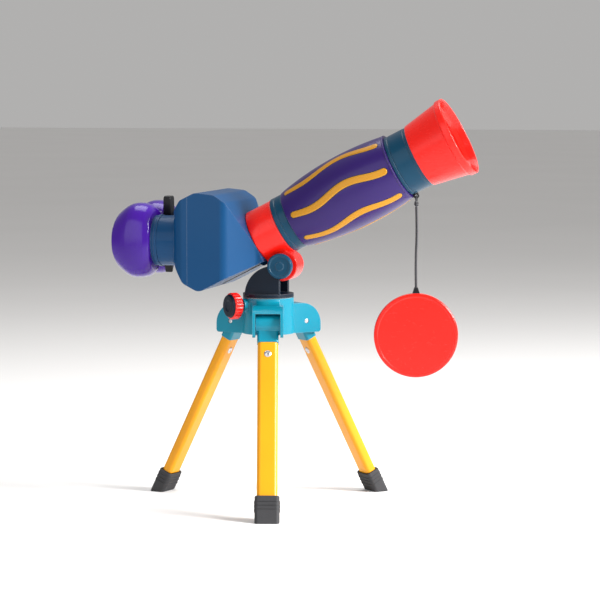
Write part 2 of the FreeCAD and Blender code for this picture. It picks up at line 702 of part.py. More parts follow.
def make_hood():
    hood = new_body("lens_hood", tube_place)
    inside = s.lens_radius + 2.2 + s.seat_clear
    rim_back = s.hood_front - s.hood_rim_long
    turn(hood, [
        (s.head_front, inside), (s.head_front, s.hood_back_radius, 1), (rim_back, s.hood_rim_radius - 1.5),
        (rim_back, s.hood_rim_radius), (s.hood_front, s.hood_rim_radius, 1),
        (s.hood_front, s.hood_rim_radius - s.hood_wall),
        (rim_back, s.hood_rim_radius - s.hood_wall - 1.5),
        (s.head_front + s.spigot_long + 2, inside),
    ])
    lens = new_body("objective_lens", tube_place)
    seat = s.head_front - 3
    bulge = s.lens_crown
    turn(lens, [
        (seat - bulge, 0), (seat - bulge * 0.8, 11), (seat, s.tube_radius - s.tube_wall - 1),
        (seat, s.lens_radius), (seat + s.lens_edge, s.lens_radius),
        (seat + s.lens_edge, s.lens_radius - 3), (seat + s.lens_edge + bulge * 0.8, 11),
        (seat + s.lens_edge + bulge, 0),
    ])
    ring = new_body("lens_retainer", tube_place)
    front = seat + s.lens_edge
    turn(ring, [
        (front, s.lens_radius - 2.5), (front, s.lens_radius), (front + 5, s.lens_radius),
        (front + 5, s.lens_radius - 1.5),
    ])


# housing, round the eye axis

nose_x = foot_point_x - s.collar_back * cosine(s.elevation)
nose_z = foot_point_z - eye_height - s.collar_back * sine(s.elevation)


def case_side(inset):
    """The housing's side outline, seen from the left."""
    up_x, up_z = -sine(s.elevation), cosine(s.elevation)
    top = s.nose_radius - inset
    low = s.nose_drop - inset
    front_x = nose_x - inset * cosine(s.elevation)
    front_z = nose_z - inset * sine(s.elevation)
    return [
        (-62, s.case_top - inset, 10), (-42, s.case_top - 2 - inset, 10), (-30 - inset / 2, 41 - inset, 8),
        (front_x + up_x * top, front_z + up_z * top),
        (front_x - up_x * low, front_z - up_z * low),
        (-58, -s.case_top + inset, 10), (-75 + inset / 2, -42 + inset, 10),
        (-s.case_back + inset, -20, 10), (-s.case_back + inset, 30, 10), (-78 + inset / 2, 43 - inset, 8),
    ]


def case_plan(inset):
    """The housing's outline seen from above."""
    half = s.case_half - inset
    nose = s.nose_radius - inset
    side = [
        (-s.case_back + inset, half, 12), (-30 - inset / 2, half, 12), (-6 - inset / 2, nose, 6),
        (25, nose),
    ]
    return side + [(x_y[0], -x_y[1], *x_y[2:]) for x_y in reversed(side)]


def extruded(corners, rotation, half):
    sketch = doc.addObject("Sketcher::SketchObject", "Outline")
    add_outline(sketch, corners)
    sketch.Placement = Placement(Vector(0, 0, 0), rotation)
    solid = doc.addObject("Part::Extrusion", "Extruded")
    solid.Base = sketch
    solid.DirMode = "Normal"
    solid.Solid = True
    solid.Symmetric = True
    bind(solid, LengthFwd=2 * half)
    return solid


def boolean(kind, *shapes):
    thing = doc.addObject(kind, "Boolean")
    if kind in ("Part::MultiFuse", "Part::MultiCommon"):
        thing.Shapes = list(shapes)
    else:
        thing.Base, thing.Tool = shapes
    return thing


def cylinder(radius, length, x, y, z, direction=Vector(-1, 0, 0)):
    thing = doc.addObject("Part::Cylinder", "Cylinder")
    bind(thing, Radius=radius, Height=length)
    base = Vector(sized(x).number, sized(y).number, sized(z).number)
    thing.Placement = Placement(base, Rotation(Vector(0, 0, 1), direction))
    return thing


def block(x_low, x_high, half_y, z_low, z_high, y=0):
    thing = doc.addObject("Part::Box", "Block")
    x_low, x_high, half_y = sized(x_low), sized(x_high), sized(half_y)
    z_low, z_high = sized(z_low), sized(z_high)
    bind(thing, Length=x_high - x_low, Width=2 * half_y, Height=z_high - z_low)
    thing.Placement = Placement(
        Vector(x_low.number, sized(y).number - half_y.number, z_low.number), Rotation()
    )
    return thing


def case_body(inset):
    side_way = Rotation(Vector(1, 0, 0), 90)
    side = extruded(case_side(inset), side_way, s.case_half - inset)
    plan = extruded(case_plan(inset), Rotation(), s.case_top * 2)
    return boolean("Part::MultiCommon", side, plan)


def make_housing():
    tube_way = about_y(-s.elevation.number).multVec(Vector(-1, 0, 0))
    whole = case_body(sized(0))
    hollow = case_body(s.case_wall)
    shell = boolean("Part::Cut", whole, hollow)
    bore_x = nose_x + 2 * cosine(s.elevation)
    bore_z = nose_z + 2 * sine(s.elevation)
    nose_bore = cylinder(s.tube_radius + s.seat_clear, 60, bore_x, 0, bore_z, tube_way)
    nose_ring = cylinder(s.nose_radius + 1.4, 8, nose_x, 0, nose_z, tube_way)
    half_eye = s.eye_spacing / 2
    screw_y = s.case_half - s.case_wall - s.boss_radius
    bosses = [
        cylinder(s.boss_radius + 0.6, s.case_back - 50, -50, side * screw_y, up)
        for side in (1, -1) for up in (26, -24)
    ]
    bosses_in = boolean("Part::MultiCommon", boolean("Part::MultiFuse", *bosses), case_body(sized(0.5)))
    full = boolean("Part::MultiFuse", shell, bosses_in, nose_ring)
    bored = boolean("Part::Cut", full, nose_bore)
    drills = [
        cylinder(s.case_screw, s.case_back, -56, side * screw_y, up)
        for side in (1, -1) for up in (26, -24)
    ]
    sinks = [
        cylinder(s.case_screw * 2.2, 30, -s.case_back + 6, side * screw_y, up)
        for side in (1, -1) for up in (26, -24)
    ]
    drilled = boolean("Part::Cut", bored, boolean("Part::MultiFuse", *drills, *sinks))
    rear_box = block(-s.case_back - 5, -s.case_split, s.case_half + 5, -80, 80)
    front = boolean("Part::Cut", drilled, rear_box)
    keep(front, "housing_shell", eye_place)

    rear_box_again = block(-s.case_back - 5, -s.case_split, s.case_half + 5, -80, 80)
    rear = boolean("Part::MultiCommon", drilled, rear_box_again)
    neck_start = -s.case_back + s.case_wall
    necks = [
        cylinder(s.neck_radius, s.neck_end + neck_start, neck_start, side * half_eye, 0) for side in (1, -1)
    ]
    joined = boolean("Part::MultiFuse", rear, *necks)
    bores = [
        cylinder(s.neck_bore, s.neck_end, -s.case_split + 1, side * half_eye, 0) for side in (1, -1)
    ]
    cover = boolean("Part::Cut", joined, boolean("Part::MultiFuse", *bores))
    keep(cover, "rear_cover", eye_place)

    screws = []
    for side in (1, -1):
        for up in (26, -24):
            y = side * screw_y.number
            back = -s.case_back.number + 6
            shank = Part.makeCylinder(
                s.case_screw.number, back * -1 - 58, Vector(back, y, up), Vector(1, 0, 0)
            )
            head = Part.makeCylinder(s.case_screw.number * 2, 2, Vector(back - 2, y, up), Vector(1, 0, 0))
            screw = shank.fuse(head).removeSplitter()
            screw.translate(Vector(0, 0, eye_height.number))
            screws.append(screw)
    solids("housing_screws", screws)


def make_eye_shade():
    shade = new_body("eye_shade", eye_place)
    half, high = s.shade_half, s.shade_high
    face = new_sketch(shade, "YZ_Plane", lift=-s.neck_end)
    add_outline(face, [
        (-half, -high, 26), (-half, high, 24), (-8, high, 10), (0, high - 7, 5), (8, high, 10),
        (half, high, 24), (half, -high, 26), (18, -high, 10), (0, -2, 8), (-18, -high, 10),
    ])
    pad(shade, face, s.shade_long, flipped=True)
    half_eye = s.eye_spacing / 2
    wells = circles(
        shade, "YZ_Plane", [(half_eye + 1, 0, s.shade_well), (-half_eye - 1, 0, s.shade_well)],
        lift=-s.neck_end - s.shade_long,
    )
    pocket(shade, wells, s.shade_well_deep, flipped=True)
    holes = circles(
        shade, "YZ_Plane", [(side * half_eye, 0, s.neck_bore + s.seat_clear) for side in (1, -1)],
        lift=-s.neck_end + 1,
    )
    pocket(shade, holes, s.shade_long + 5)

    bracket = new_body("bridge_bracket", eye_place)
    plate = outline(bracket, "YZ_Plane", [
        (-7, 45, 4), (7, 45, 4), (8, 28), (2.4, 4), (2.4, -4), (8, -24), (0, -36), (-8, -24),
        (-2.4, -4), (-2.4, 4), (-8, 28),
    ], lift=-s.neck_end)
    pad(bracket, plate, s.bracket_thick)


def make_optics():
    half_eye = s.eye_spacing / 2
    for side, label in ((1, "left"), (-1, "right")):
        place = Placement(Vector(0, side * half_eye.number, eye_height.number), Rotation())
        barrel = new_body("eyepiece_" + label, place)
        outer = s.neck_bore - s.seat_clear
        inner = outer - s.eyepiece_wall
        turn(barrel, [
            (-s.eyepiece_back, inner), (-s.eyepiece_back, outer, 0.8), (-s.eyepiece_front, outer),
            (-s.eyepiece_front, inner - 2), (-s.eyepiece_front - 2, inner - 2),
            (-s.eyepiece_front - 2, inner),
        ])
        glass = new_body("eye_lens_" + label, place)
        seat = -s.eyepiece_back + 2
        turn(glass, [
            (seat - 1.5, 0), (seat, inner), (seat + 3, inner), (seat + 4.5, 0),
        ])
    top = -s.tray_drop
    tray_back = -s.case_back + s.case_wall
    tray = block(tray_back, -30, half_eye + 14, top - s.tray_thick, top)
    keep(tray, "optics_tray", eye_place.multiply(tray.Placement))
    splitter = block(-66, -46, 10, top, top + s.prism_high)
    keep(splitter, "beam_splitter", eye_place.multiply(splitter.Placement))
    mirrors = []
    for side in (1, -1):
        plate = Part.makeBox(26, 2, s.prism_high.number, Vector(-13, -1, 0))
        plate.rotate(Vector(0, 0, 0), Vector(0, 0, 1), side * 45)
        plate.translate(Vector(-56, side * half_eye.number, (eye_height + top).number))
        mirrors.append(plate)
    solids("fold_mirrors", mirrors)
    prism = new_body("erecting_prism", eye_place)
    wedge = outline(prism, "XZ_Plane", [(-44, top), (-31, top), (-31, -top), (-38, -top)])
    pad(prism, wedge, s.prism_high, both_ways=True)


# lens cap on its cord

def world_of_tube(along, up):
    return tube_place.multVec(Vector(along, 0, up))


def make_cap():
    hole = world_of_tube(s.anchor_along.number, -s.head_radius.number - 2.8)
    wire = 0.9
    loop_centre = hole - Vector(0, 0, s.loop_radius.number)
    loop = Part.makeTorus(s.loop_radius.number, wire, loop_centre, Vector(1, 0, 0))
    knot_centre = loop_centre - Vector(0, 0, s.loop_radius.number + s.knot_radius.number - 0.4)
    knot = Part.makeSphere(s.knot_radius.number, knot_centre)
    solids("cord_loop", [loop.fuse(knot).removeSplitter()])

    start = knot_centre - Vector(0, 0, s.knot_radius.number + 0.1)
    route = [start + Vector(*step) for step in ((0, 0, 0), (0.9, 0, -27), (-0.6, 0, -56), (0, 0, -83))]
    path = rounded_path(route)
    circle = Part.Wire(Part.makeCircle(s.cord_radius.number, route[0], route[1] - route[0]))
    tube = path.makePipeShell([circle], True, False)
    cord = doc.addObject("Part::Feature", "Cord")
    cord.Shape = tube if tube.ShapeType == "Solid" else tube.Solids[0]
    keep(cord, "tether_cord")

    end = route[-1]
    wide = s.cap_lug_wide.number
    lug_high = 7.6
    rim_top = end - Vector(0, 0, lug_high - 1.4)
    cap_centre = rim_top - Vector(0, 0, s.cap_radius.number)
    facing = Placement(cap_centre, about_z(s.cap_turn.number))
    cap = new_body("lens_cap", facing)
    half = s.cap_deep / 2
    turn(cap, [
        (-half, s.cap_radius - s.cap_wall), (-half, s.cap_radius), (half, s.cap_radius, 1.5), (half, 0),
        (half - 1.6, 0), (half - 1.6, s.cap_radius - s.cap_wall),
    ])
    lug = new_body("cap_lug", facing)
    shape = outline(lug, "YZ_Plane", [
        (-s.cap_lug_wide / 2, s.cap_radius - 0.02), (s.cap_lug_wide / 2, s.cap_radius - 0.02),
        (1.8, s.cap_radius + lug_high - 1.4), (-1.8, s.cap_radius + lug_high - 1.4),
    ])
    pad(lug, shape, 4, both_ways=True)


def rounded_path(route):
    """Straight runs joined by tangent arcs, each as large as its two runs allow."""
    edges = []
    begin = route[0]
    for before, corner, after in zip(route, route[1:], route[2:]):
        back, ahead = before - corner, after - corner
        turned = math.pi - back.getAngle(ahead)
        shorter = min(back.Length, ahead.Length)
        radius = 0.45 * shorter / math.tan(turned / 2)
        first = corner + back.normalize() * (0.45 * shorter)
        last = corner + ahead.normalize() * (0.45 * shorter)
        half = (math.pi - turned) / 2
        middle = (back + ahead).normalize()
        near = corner + middle * (radius / math.sin(half) - radius)
        edges.append(Part.LineSegment(begin, first).toShape())
        edges.append(Part.Arc(first, near, last).toShape())
        begin = last
    edges.append(Part.LineSegment(begin, route[-1]).toShape())
    return Part.Wire(edges)


make_crown()
make_pan_parts()
for leg_number in range(3):
    make_leg(leg_number)
make_hinge_pins()
make_knob()
make_yoke()
make_tilt_parts()
make_collar()
make_tube()
make_sleeve()
make_hood()
make_housing()
make_eye_shade()
make_optics()
make_cap()
doc.recompute()

broken = [thing.Name for thing in doc.Objects if {"Invalid", "Error"} & set(thing.State)]
for node in nodes:
    if node.Shape.isNull() or not node.Shape.isValid() or not node.Shape.Solids:
        broken.append(node.Label)
if broken:
    raise SystemExit(f"not built: {broken}")

os.makedirs("parts", exist_ok=True)
for node in nodes:
    node.Shape.exportStep(f"parts/{node.Label}.step")
print(len(nodes), "nodes written")
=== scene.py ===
import json
import math
import bmesh
import bpy
from mathutils import Matrix, Vector


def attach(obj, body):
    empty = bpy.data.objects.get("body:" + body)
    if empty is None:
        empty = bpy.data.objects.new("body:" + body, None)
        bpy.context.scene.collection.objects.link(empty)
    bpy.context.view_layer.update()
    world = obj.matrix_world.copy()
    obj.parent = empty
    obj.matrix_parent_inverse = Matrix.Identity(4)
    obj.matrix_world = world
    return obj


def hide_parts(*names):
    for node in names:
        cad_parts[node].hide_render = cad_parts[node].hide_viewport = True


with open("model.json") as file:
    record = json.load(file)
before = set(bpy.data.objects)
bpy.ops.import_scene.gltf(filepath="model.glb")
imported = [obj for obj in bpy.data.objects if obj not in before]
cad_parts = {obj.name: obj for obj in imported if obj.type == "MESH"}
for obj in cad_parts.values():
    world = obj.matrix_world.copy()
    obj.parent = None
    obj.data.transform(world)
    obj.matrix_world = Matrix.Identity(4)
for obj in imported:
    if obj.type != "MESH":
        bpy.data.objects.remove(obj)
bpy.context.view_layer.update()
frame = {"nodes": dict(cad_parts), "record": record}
mm = 0.001
print("frame loaded:", len(frame["nodes"]), "nodes")


# shader maths: a wrapped socket that adds its own Math nodes

class Wire:
    def __init__(self, tree, socket):
        self.tree = tree
        self.socket = socket

    def math(self, operation, first, second):
        node = self.tree.nodes.new("ShaderNodeMath")
        node.operation = operation
        for slot, value in zip(node.inputs, (first, second)):
            if isinstance(value, Wire):
                self.tree.links.new(value.socket, slot)
            else:
                slot.default_value = value
        return Wire(self.tree, node.outputs[0])

    def __add__(self, other):
        return self.math("ADD", self, other)

    def __radd__(self, other):
        return self.math("ADD", other, self)

    def __sub__(self, other):
        return self.math("SUBTRACT", self, other)

    def __rsub__(self, other):
        return self.math("SUBTRACT", other, self)

    def __mul__(self, other):
        return self.math("MULTIPLY", self, other)

    def __rmul__(self, other):
        return self.math("MULTIPLY", other, self)


class Finish:
    def __init__(self, name):
        self.material = bpy.data.materials.new(name)
        self.material.use_nodes = True
        self.tree = self.material.node_tree
        self.shader = self.tree.nodes["Principled BSDF"]

    def node(self, kind, settings=None, **inputs):
        node = self.tree.nodes.new(kind)
        for key, value in (settings or {}).items():
            setattr(node, key, value)
        for key, value in inputs.items():
            numbered = key[0] == "i" and key[1:].isdigit()  # i0 is the first input
            self.put(node.inputs[int(key[1:]) if numbered else key], value)
        return node

    def put(self, slot, value):
        if isinstance(value, Wire):
            self.tree.links.new(value.socket, slot)
        else:
            slot.default_value = value

    def out(self, node, socket=0):
        return Wire(self.tree, node.outputs[socket])

    def place(self):
        return self.out(self.node("ShaderNodeTexCoord"), "Object")

    def noise(self, scale, detail=3.0, rough=0.5, stretch=None):
        where = self.place()
        if stretch:
            mapping = self.node("ShaderNodeMapping", Vector=where, Scale=stretch[0], Rotation=stretch[1])
            where = self.out(mapping)
        texture = self.node(
            "ShaderNodeTexNoise", Vector=where, Scale=scale, Detail=detail, Roughness=rough,
        )
        return self.out(texture, "Fac")

    def mix(self, factor, low, high):
        blend = self.node("ShaderNodeMix", {"data_type": "RGBA"}, i0=factor)
        self.put(blend.inputs[6], low)
        self.put(blend.inputs[7], high)
        return self.out(blend, 2)

    def span(self, value, low, high):
        limits = self.node("ShaderNodeMapRange", Value=value, i1=low, i2=high, i3=0.0, i4=1.0)
        return self.out(limits)

    def bump(self, height, strength, distance):
        lifted = self.node("ShaderNodeBump", Height=height, Strength=strength, Distance=distance)
        return self.out(lifted)

    def set(self, **inputs):
        for key, value in inputs.items():
            self.put(self.shader.inputs[key.replace("_", " ")], value)
        return self.material


def tint(colour, factor):
    return tuple(min(1.0, c * factor) for c in colour[:3]) + (1.0,)


moulding = {
    "cloudScale": 9.0, "rippleScale": 28.0, "grainScale": 900.0, "scuffScale": 60.0,
    "scuffStretch": (1.0, 9.0, 5.0), "scuffTurn": (0.5, 0.2, 0.9), "scuffRange": (0.60, 0.76),
    "edge": 0.0012, "edgeRange": (0.01, 0.12), "edgeFade": 0.30, "darker": 0.84, "lighter": 1.16,
    "coat": 0.12, "coatRough": 0.12, "bump": 0.12, "bumpDepth": 0.0004,
}


def mouldedPlastic(name, colour, gloss, specular):
    # flow clouds, a faint sink-mark ripple, fine skin grain, hairline scuffs and rubbed edges
    finish = Finish(name)
    clouds = finish.noise(moulding["cloudScale"], 4.0)
    ripple = finish.noise(moulding["rippleScale"], 2.0)
    skinGrain = finish.noise(moulding["grainScale"], 2.0)
    stretch = (moulding["scuffStretch"], moulding["scuffTurn"])
    scuffs = finish.noise(moulding["scuffScale"], 5.0, 0.7, stretch)
    scuffMask = finish.span(scuffs, *moulding["scuffRange"])
    bevel = finish.node("ShaderNodeBevel", {"samples": 4}, Radius=moulding["edge"])
    rounded = finish.out(bevel, "Normal")
    flat = finish.out(finish.node("ShaderNodeNewGeometry"), "Normal")
    product = finish.node("ShaderNodeVectorMath", {"operation": "DOT_PRODUCT"}, i0=rounded, i1=flat)
    agreement = finish.out(product, "Value")  # below 1 only beside an edge
    rubbed = finish.span(1 - agreement, *moulding["edgeRange"]) * (0.35 + 0.65 * scuffs)
    clouded = finish.mix(clouds, tint(colour, moulding["darker"]), tint(colour, moulding["lighter"]))
    bleached = tint(tuple(0.3 + 0.7 * c for c in colour), 1.0)
    relief = skinGrain + 0.25 * scuffs + 1.6 * ripple
    return finish.set(
        Base_Color=finish.mix(moulding["edgeFade"] * rubbed, clouded, bleached),
        Roughness=gloss + 0.10 * clouds + 0.14 * scuffMask + 0.12 * rubbed,
        Coat_Weight=moulding["coat"], Coat_Roughness=moulding["coatRough"], Specular_IOR_Level=specular,
        Normal=finish.bump(relief, moulding["bump"], moulding["bumpDepth"]),
    )


def rubber(name, colour):
    finish = Finish(name)
    dust = finish.noise(35.0, 5.0, 0.65)
    pores = finish.noise(700.0, 2.0)
    return finish.set(
        Base_Color=finish.mix(dust, tint(colour, 0.8), tint(colour, 2.0)),
        Roughness=0.62 + 0.2 * dust,
        Normal=finish.bump(pores, 0.3, 0.0004),
    )


steel = {
    "scale": 90.0, "stretch": (1.0, 12.0, 1.0), "dark": (0.42, 0.42, 0.44, 1), "light": (0.72, 0.72, 0.74, 1),
}


def zincSteel(name):
    finish = Finish(name)
    streaks = finish.noise(steel["scale"], 4.0, 0.6, (steel["stretch"], (0.0, 0.0, 0.0)))
    return finish.set(
        Base_Color=finish.mix(streaks, steel["dark"], steel["light"]), Metallic=1.0,
        Roughness=0.22 + 0.25 * streaks, Normal=finish.bump(streaks, 0.12, 0.0002),
    )


glass = {"haze": 14.0, "clear": 0.85, "ior": 1.52, "coatTint": (0.45, 0.6, 1.0, 1.0)}


def coatedGlass(name, colour):
    finish = Finish(name)
    haze = finish.noise(glass["haze"], 3.0)
    return finish.set(
        Base_Color=finish.mix(haze, tint(colour, 0.85), tint(colour, 1.1)), Roughness=0.03 + 0.03 * haze,
        Transmission_Weight=glass["clear"], IOR=glass["ior"], Coat_Weight=1.0, Coat_Roughness=0.02,
        Specular_Tint=glass["coatTint"],
    )


def mirrorFace(name):
    finish = Finish(name)
    haze = finish.noise(20.0, 3.0)
    return finish.set(Base_Color=(0.9, 0.9, 0.92, 1), Metallic=1.0, Roughness=0.03 + 0.04 * haze)


braid = {
    "along": 2600.0, "across": 1500.0, "dark": (0.006, 0.006, 0.008, 1), "light": (0.035, 0.035, 0.042, 1),
    "roughness": 0.7, "sheen": 0.3, "bump": 0.8, "bumpDepth": 0.0005,
}


def braidedCord(name):
    # two sets of slanting waves that cross, as plaited strands do
    finish = Finish(name)
    split = finish.node("ShaderNodeSeparateXYZ", Vector=finish.place())
    along = finish.out(split, "Z") * braid["along"]
    across = (finish.out(split, "X") + finish.out(split, "Y")) * braid["across"]
    rising = along + across
    falling = along - across
    strands = rising.math("SINE", rising, 0.0) * falling.math("SINE", falling, 0.0)
    lift = 0.5 + 0.5 * strands
    return finish.set(
        Base_Color=finish.mix(lift, braid["dark"], braid["light"]), Roughness=braid["roughness"],
        Normal=finish.bump(lift, braid["bump"], braid["bumpDepth"]), Sheen_Weight=braid["sheen"],
    )


colours = {
    "teal_plastic": (0.000, 0.044, 0.092),
    "housing_blue": (0.000, 0.046, 0.138),
    "goggle_purple": (0.042, 0.004, 0.235),
    "sleeve_purple": (0.018, 0.002, 0.105),
    "wave_ochre": (0.50, 0.22, 0.004),
    "signal_red": (0.83, 0.008, 0.003),
    "leg_yellow": (0.72, 0.30, 0.002),
    "tripod_teal": (0.000, 0.20, 0.29),
    # dark_teal is painted shade: a near-black teal given to the tilt yoke and the knob's end cap for the
    # shade they sit in
    "dark_teal": (0.0015, 0.007, 0.017),
    "black_plastic": (0.006, 0.006, 0.008),
    "foot_rubber": (0.018, 0.018, 0.020),
    "nylon_white": (0.70, 0.69, 0.64),
}
glosses = {
    "teal_plastic": 0.28, "housing_blue": 0.42, "goggle_purple": 0.14, "sleeve_purple": 0.30,
    "wave_ochre": 0.32, "signal_red": 0.22, "leg_yellow": 0.34, "tripod_teal": 0.28, "dark_teal": 0.46,
    "black_plastic": 0.42, "nylon_white": 0.45,
}
deepColours = ("dark_teal", "black_plastic", "housing_blue", "teal_plastic")
finishes = {}
for slotName, colour in colours.items():
    if slotName == "foot_rubber":
        finishes[slotName] = rubber("foot_rubber", colour)
    else:
        specular = 0.16 if slotName in deepColours else 0.3
        finishes[slotName] = mouldedPlastic(slotName, colour, glosses[slotName], specular)
finishes["zinc_steel"] = zincSteel("zinc_steel")
finishes["coated_glass"] = coatedGlass("coated_glass", (0.55, 0.66, 0.92))
finishes["mirror_face"] = mirrorFace("mirror_face")
finishes["cord_black"] = braidedCord("cord_black")
print("materials made:", len(finishes))

slotOf = {part["node"]: part["material_slot"] for part in frame["record"]["subparts"]}
for nodeName, cadObject in frame["nodes"].items():
    cadObject.data.materials.clear()
    cadObject.data.materials.append(finishes[slotOf[nodeName]])


# camera, light and floor

stage = {
    "azimuth": 14, "elevation": 5, "distance": 2.6, "lens": 150, "aim": (0.034, 0.0, 0.212),
    "floorSize": 40.0, "floorShades": ((0.85, 0.84, 0.83, 1), (0.90, 0.89, 0.88, 1)),
    "skyColour": (0.88, 0.87, 0.86, 1), "skyStrength": 0.5, "lightAim": (0.02, 0, 0.22),
}
lamps = {
    "key": {"place": (1.9, -0.2, 1.1), "size": 0.8, "power": 105},
    "top": {"place": (-0.1, 0.5, 1.7), "size": 1.0, "power": 14},
    "fill": {"place": (-0.5, -1.9, 0.9), "size": 1.6, "power": 12},
}


def aimAt(thing, target):
    direction = Vector(target) - thing.location
    thing.rotation_euler = direction.to_track_quat("-Z", "Y").to_euler()


def makeCamera():
    azimuth = math.radians(stage["azimuth"])
    elevation = math.radians(stage["elevation"])
    level = math.cos(elevation)
    away = Vector((math.sin(azimuth) * level, -math.cos(azimuth) * level, math.sin(elevation)))
    data = bpy.data.cameras.new("camera")
    data.lens = stage["lens"]
    camera = bpy.data.objects.new("camera", data)
    bpy.context.collection.objects.link(camera)
    camera.location = Vector(stage["aim"]) + away * stage["distance"]
    aimAt(camera, stage["aim"])
    bpy.context.scene.camera = camera


def makeLamp(name, lamp):
    data = bpy.data.lights.new(name, "AREA")
    data.size = lamp["size"]
    data.energy = lamp["power"]
    light = bpy.data.objects.new(name, data)
    bpy.context.collection.objects.link(light)
    light.location = lamp["place"]
    aimAt(light, stage["lightAim"])


def makeFloor():
    bm = bmesh.new()
    bmesh.ops.create_grid(bm, x_segments=1, y_segments=1, size=stage["floorSize"] / 2)
    mesh = bpy.data.meshes.new("floor")
    bm.to_mesh(mesh)
    bm.free()
    floor = bpy.data.objects.new("floor", mesh)
    bpy.context.collection.objects.link(floor)
    finish = Finish("floorPaint")
    cloud = finish.noise(1.5, 3.0)
    mesh.materials.append(finish.set(Base_Color=finish.mix(cloud, *stage["floorShades"]), Roughness=0.8))


def makeSky():
    world = bpy.data.worlds.new("studio")
    bpy.context.scene.world = world
    world.use_nodes = True
    background = world.node_tree.nodes["Background"]
    background.inputs["Color"].default_value = stage["skyColour"]
    background.inputs["Strength"].default_value = stage["skyStrength"]


makeCamera()
makeFloor()
makeSky()
for lampName, lamp in lamps.items():
    makeLamp(lampName, lamp)
bpy.context.scene.view_settings.view_transform = "Standard"
print("camera, lights and floor ready")


# shared mesh helpers

def turnedAbout(angle, axis):
    return Matrix.Rotation(angle, 4, axis)


places = {
    "tube": (0.00138, 0, 0.28191), "tubeRise": 27, "eyes": (0, 0, 0.27399), "halfEyes": 0.029,
    "cap": (0.15693, 0, 0.17815), "capTurn": -76, "knob": (0, 0, 0.20689), "knobTurn": 224,
    "pivot": (0.0184, 0, 0.24849),
}
tubeFrame = Matrix.Translation(places["tube"]) @ turnedAbout(-math.radians(places["tubeRise"]), "Y")
eyeFrame = Matrix.Translation(places["eyes"])
capFrame = Matrix.Translation(places["cap"]) @ turnedAbout(math.radians(places["capTurn"]), "Z")
knobFrame = Matrix.Translation(places["knob"]) @ turnedAbout(math.radians(places["knobTurn"]), "Z")
pivotFrame = Matrix.Translation(places["pivot"])


def finishPiece(name, bm, body, slotName, *replaced, place=None, scale=mm, smooth=32, flatFaces=True):
    # from millimetres on its own axes to metres in place, on its body and in its slot
    bmesh.ops.scale(bm, vec=(scale, scale, scale), verts=bm.verts)
    if place:
        bmesh.ops.transform(bm, matrix=place, verts=bm.verts)
    mesh = bpy.data.meshes.new(name)
    bm.to_mesh(mesh)
    bm.free()
    mesh.materials.append(finishes[slotName])
    mesh.shade_smooth()
    mesh.set_sharp_from_angle(angle=math.radians(smooth))
    piece = bpy.data.objects.new(name, mesh)
    bpy.context.collection.objects.link(piece)
    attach(piece, body)
    if replaced:
        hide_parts(*replaced)
    if flatFaces:
        levelled = piece.modifiers.new("levelNormals", "WEIGHTED_NORMAL")
        levelled.keep_sharp = True
        levelled.weight = 50


def cleaned(bm):
    bmesh.ops.remove_doubles(bm, verts=bm.verts, dist=1e-4)
    bmesh.ops.recalc_face_normals(bm, faces=bm.faces)
    return bm


def turned(corners, steps=96):
    # corners are (along, radius) or (along, radius, rounding), spun about the X axis
    bm = bmesh.new()
    spun = [bm.verts.new((corner[0], 0, corner[1])) for corner in corners]
    for i in range(len(spun)):
        bm.edges.new((spun[i], spun[(i + 1) % len(spun)]))
    rounding = {}
    for vert, corner in zip(spun, corners):
        if len(corner) > 2:
            rounding.setdefault(corner[2], []).append(vert)
    for radius, verts in rounding.items():
        bmesh.ops.bevel(
            bm, geom=verts, offset=radius, offset_type="OFFSET", segments=5, profile=0.5,
            affect="VERTICES", clamp_overlap=True, material=-1,
        )
    bmesh.ops.spin(
        bm, geom=bm.verts[:] + bm.edges[:], cent=(0, 0, 0), axis=(1, 0, 0), angle=2 * math.pi,
        steps=steps, use_merge=True, dvec=(0, 0, 0),
    )
    return cleaned(bm)


def bevelled(bm, width, segments=3, angle=28):
    # rounds the outward edges that turn by more than the angle
    limit = math.radians(angle)
    edges = [
        edge for edge in bm.edges if len(edge.link_faces) == 2 and edge.calc_face_angle_signed(0) > limit
    ]
    bmesh.ops.bevel(
        bm, geom=edges, offset=width, offset_type="OFFSET", segments=segments, profile=0.5,
        affect="EDGES", clamp_overlap=True, material=-1,
    )
    return bm


def cadCopy(node):
    # the node's mesh in millimetres, with its loose triangles merged and its flat faces made whole
    bm = bmesh.new()
    bm.from_mesh(frame["nodes"][node].data)
    bmesh.ops.scale(bm, vec=(1 / mm, 1 / mm, 1 / mm), verts=bm.verts)
    bmesh.ops.remove_doubles(bm, verts=bm.verts, dist=2e-3)
    bmesh.ops.dissolve_limit(bm, angle_limit=math.radians(0.8), verts=bm.verts, edges=bm.edges)
    return bm


def roundedBox(sizeX, sizeY, sizeZ, centre, rounding, segments, pick=None):
    bm = bmesh.new()
    bmesh.ops.create_cube(bm, size=1.0)
    bmesh.ops.scale(bm, vec=(sizeX, sizeY, sizeZ), verts=bm.verts)
    edges = [edge for edge in bm.edges if pick is None or pick(edge)]
    bmesh.ops.bevel(
        bm, geom=edges, offset=rounding, offset_type="OFFSET", segments=segments, profile=0.5,
        affect="EDGES", clamp_overlap=True, material=-1,
    )
    bmesh.ops.translate(bm, vec=centre, verts=bm.verts)
    return bm


def groove(start, radius, deep, floorWide, lipSoft):
    # four corners of a shallow groove round a turned piece
    ramp, soft = 0.4, 0.2
    end = start + 2 * ramp + floorWide
    return [
        (start, radius, lipSoft), (start + ramp, radius - deep, soft), (end - ramp, radius - deep, soft),
        (end, radius, lipSoft),
    ]


def joined(*parts):
    whole = bmesh.new()
    for part in parts:
        scratch = bpy.data.meshes.new("scratch")
        part.to_mesh(scratch)
        part.free()
        whole.from_mesh(scratch)
        bpy.data.meshes.remove(scratch)
    return whole


def moved(bm, matrix):
    bmesh.ops.transform(bm, matrix=matrix, verts=bm.verts)
    return bm


# cord, knot and swivel loop

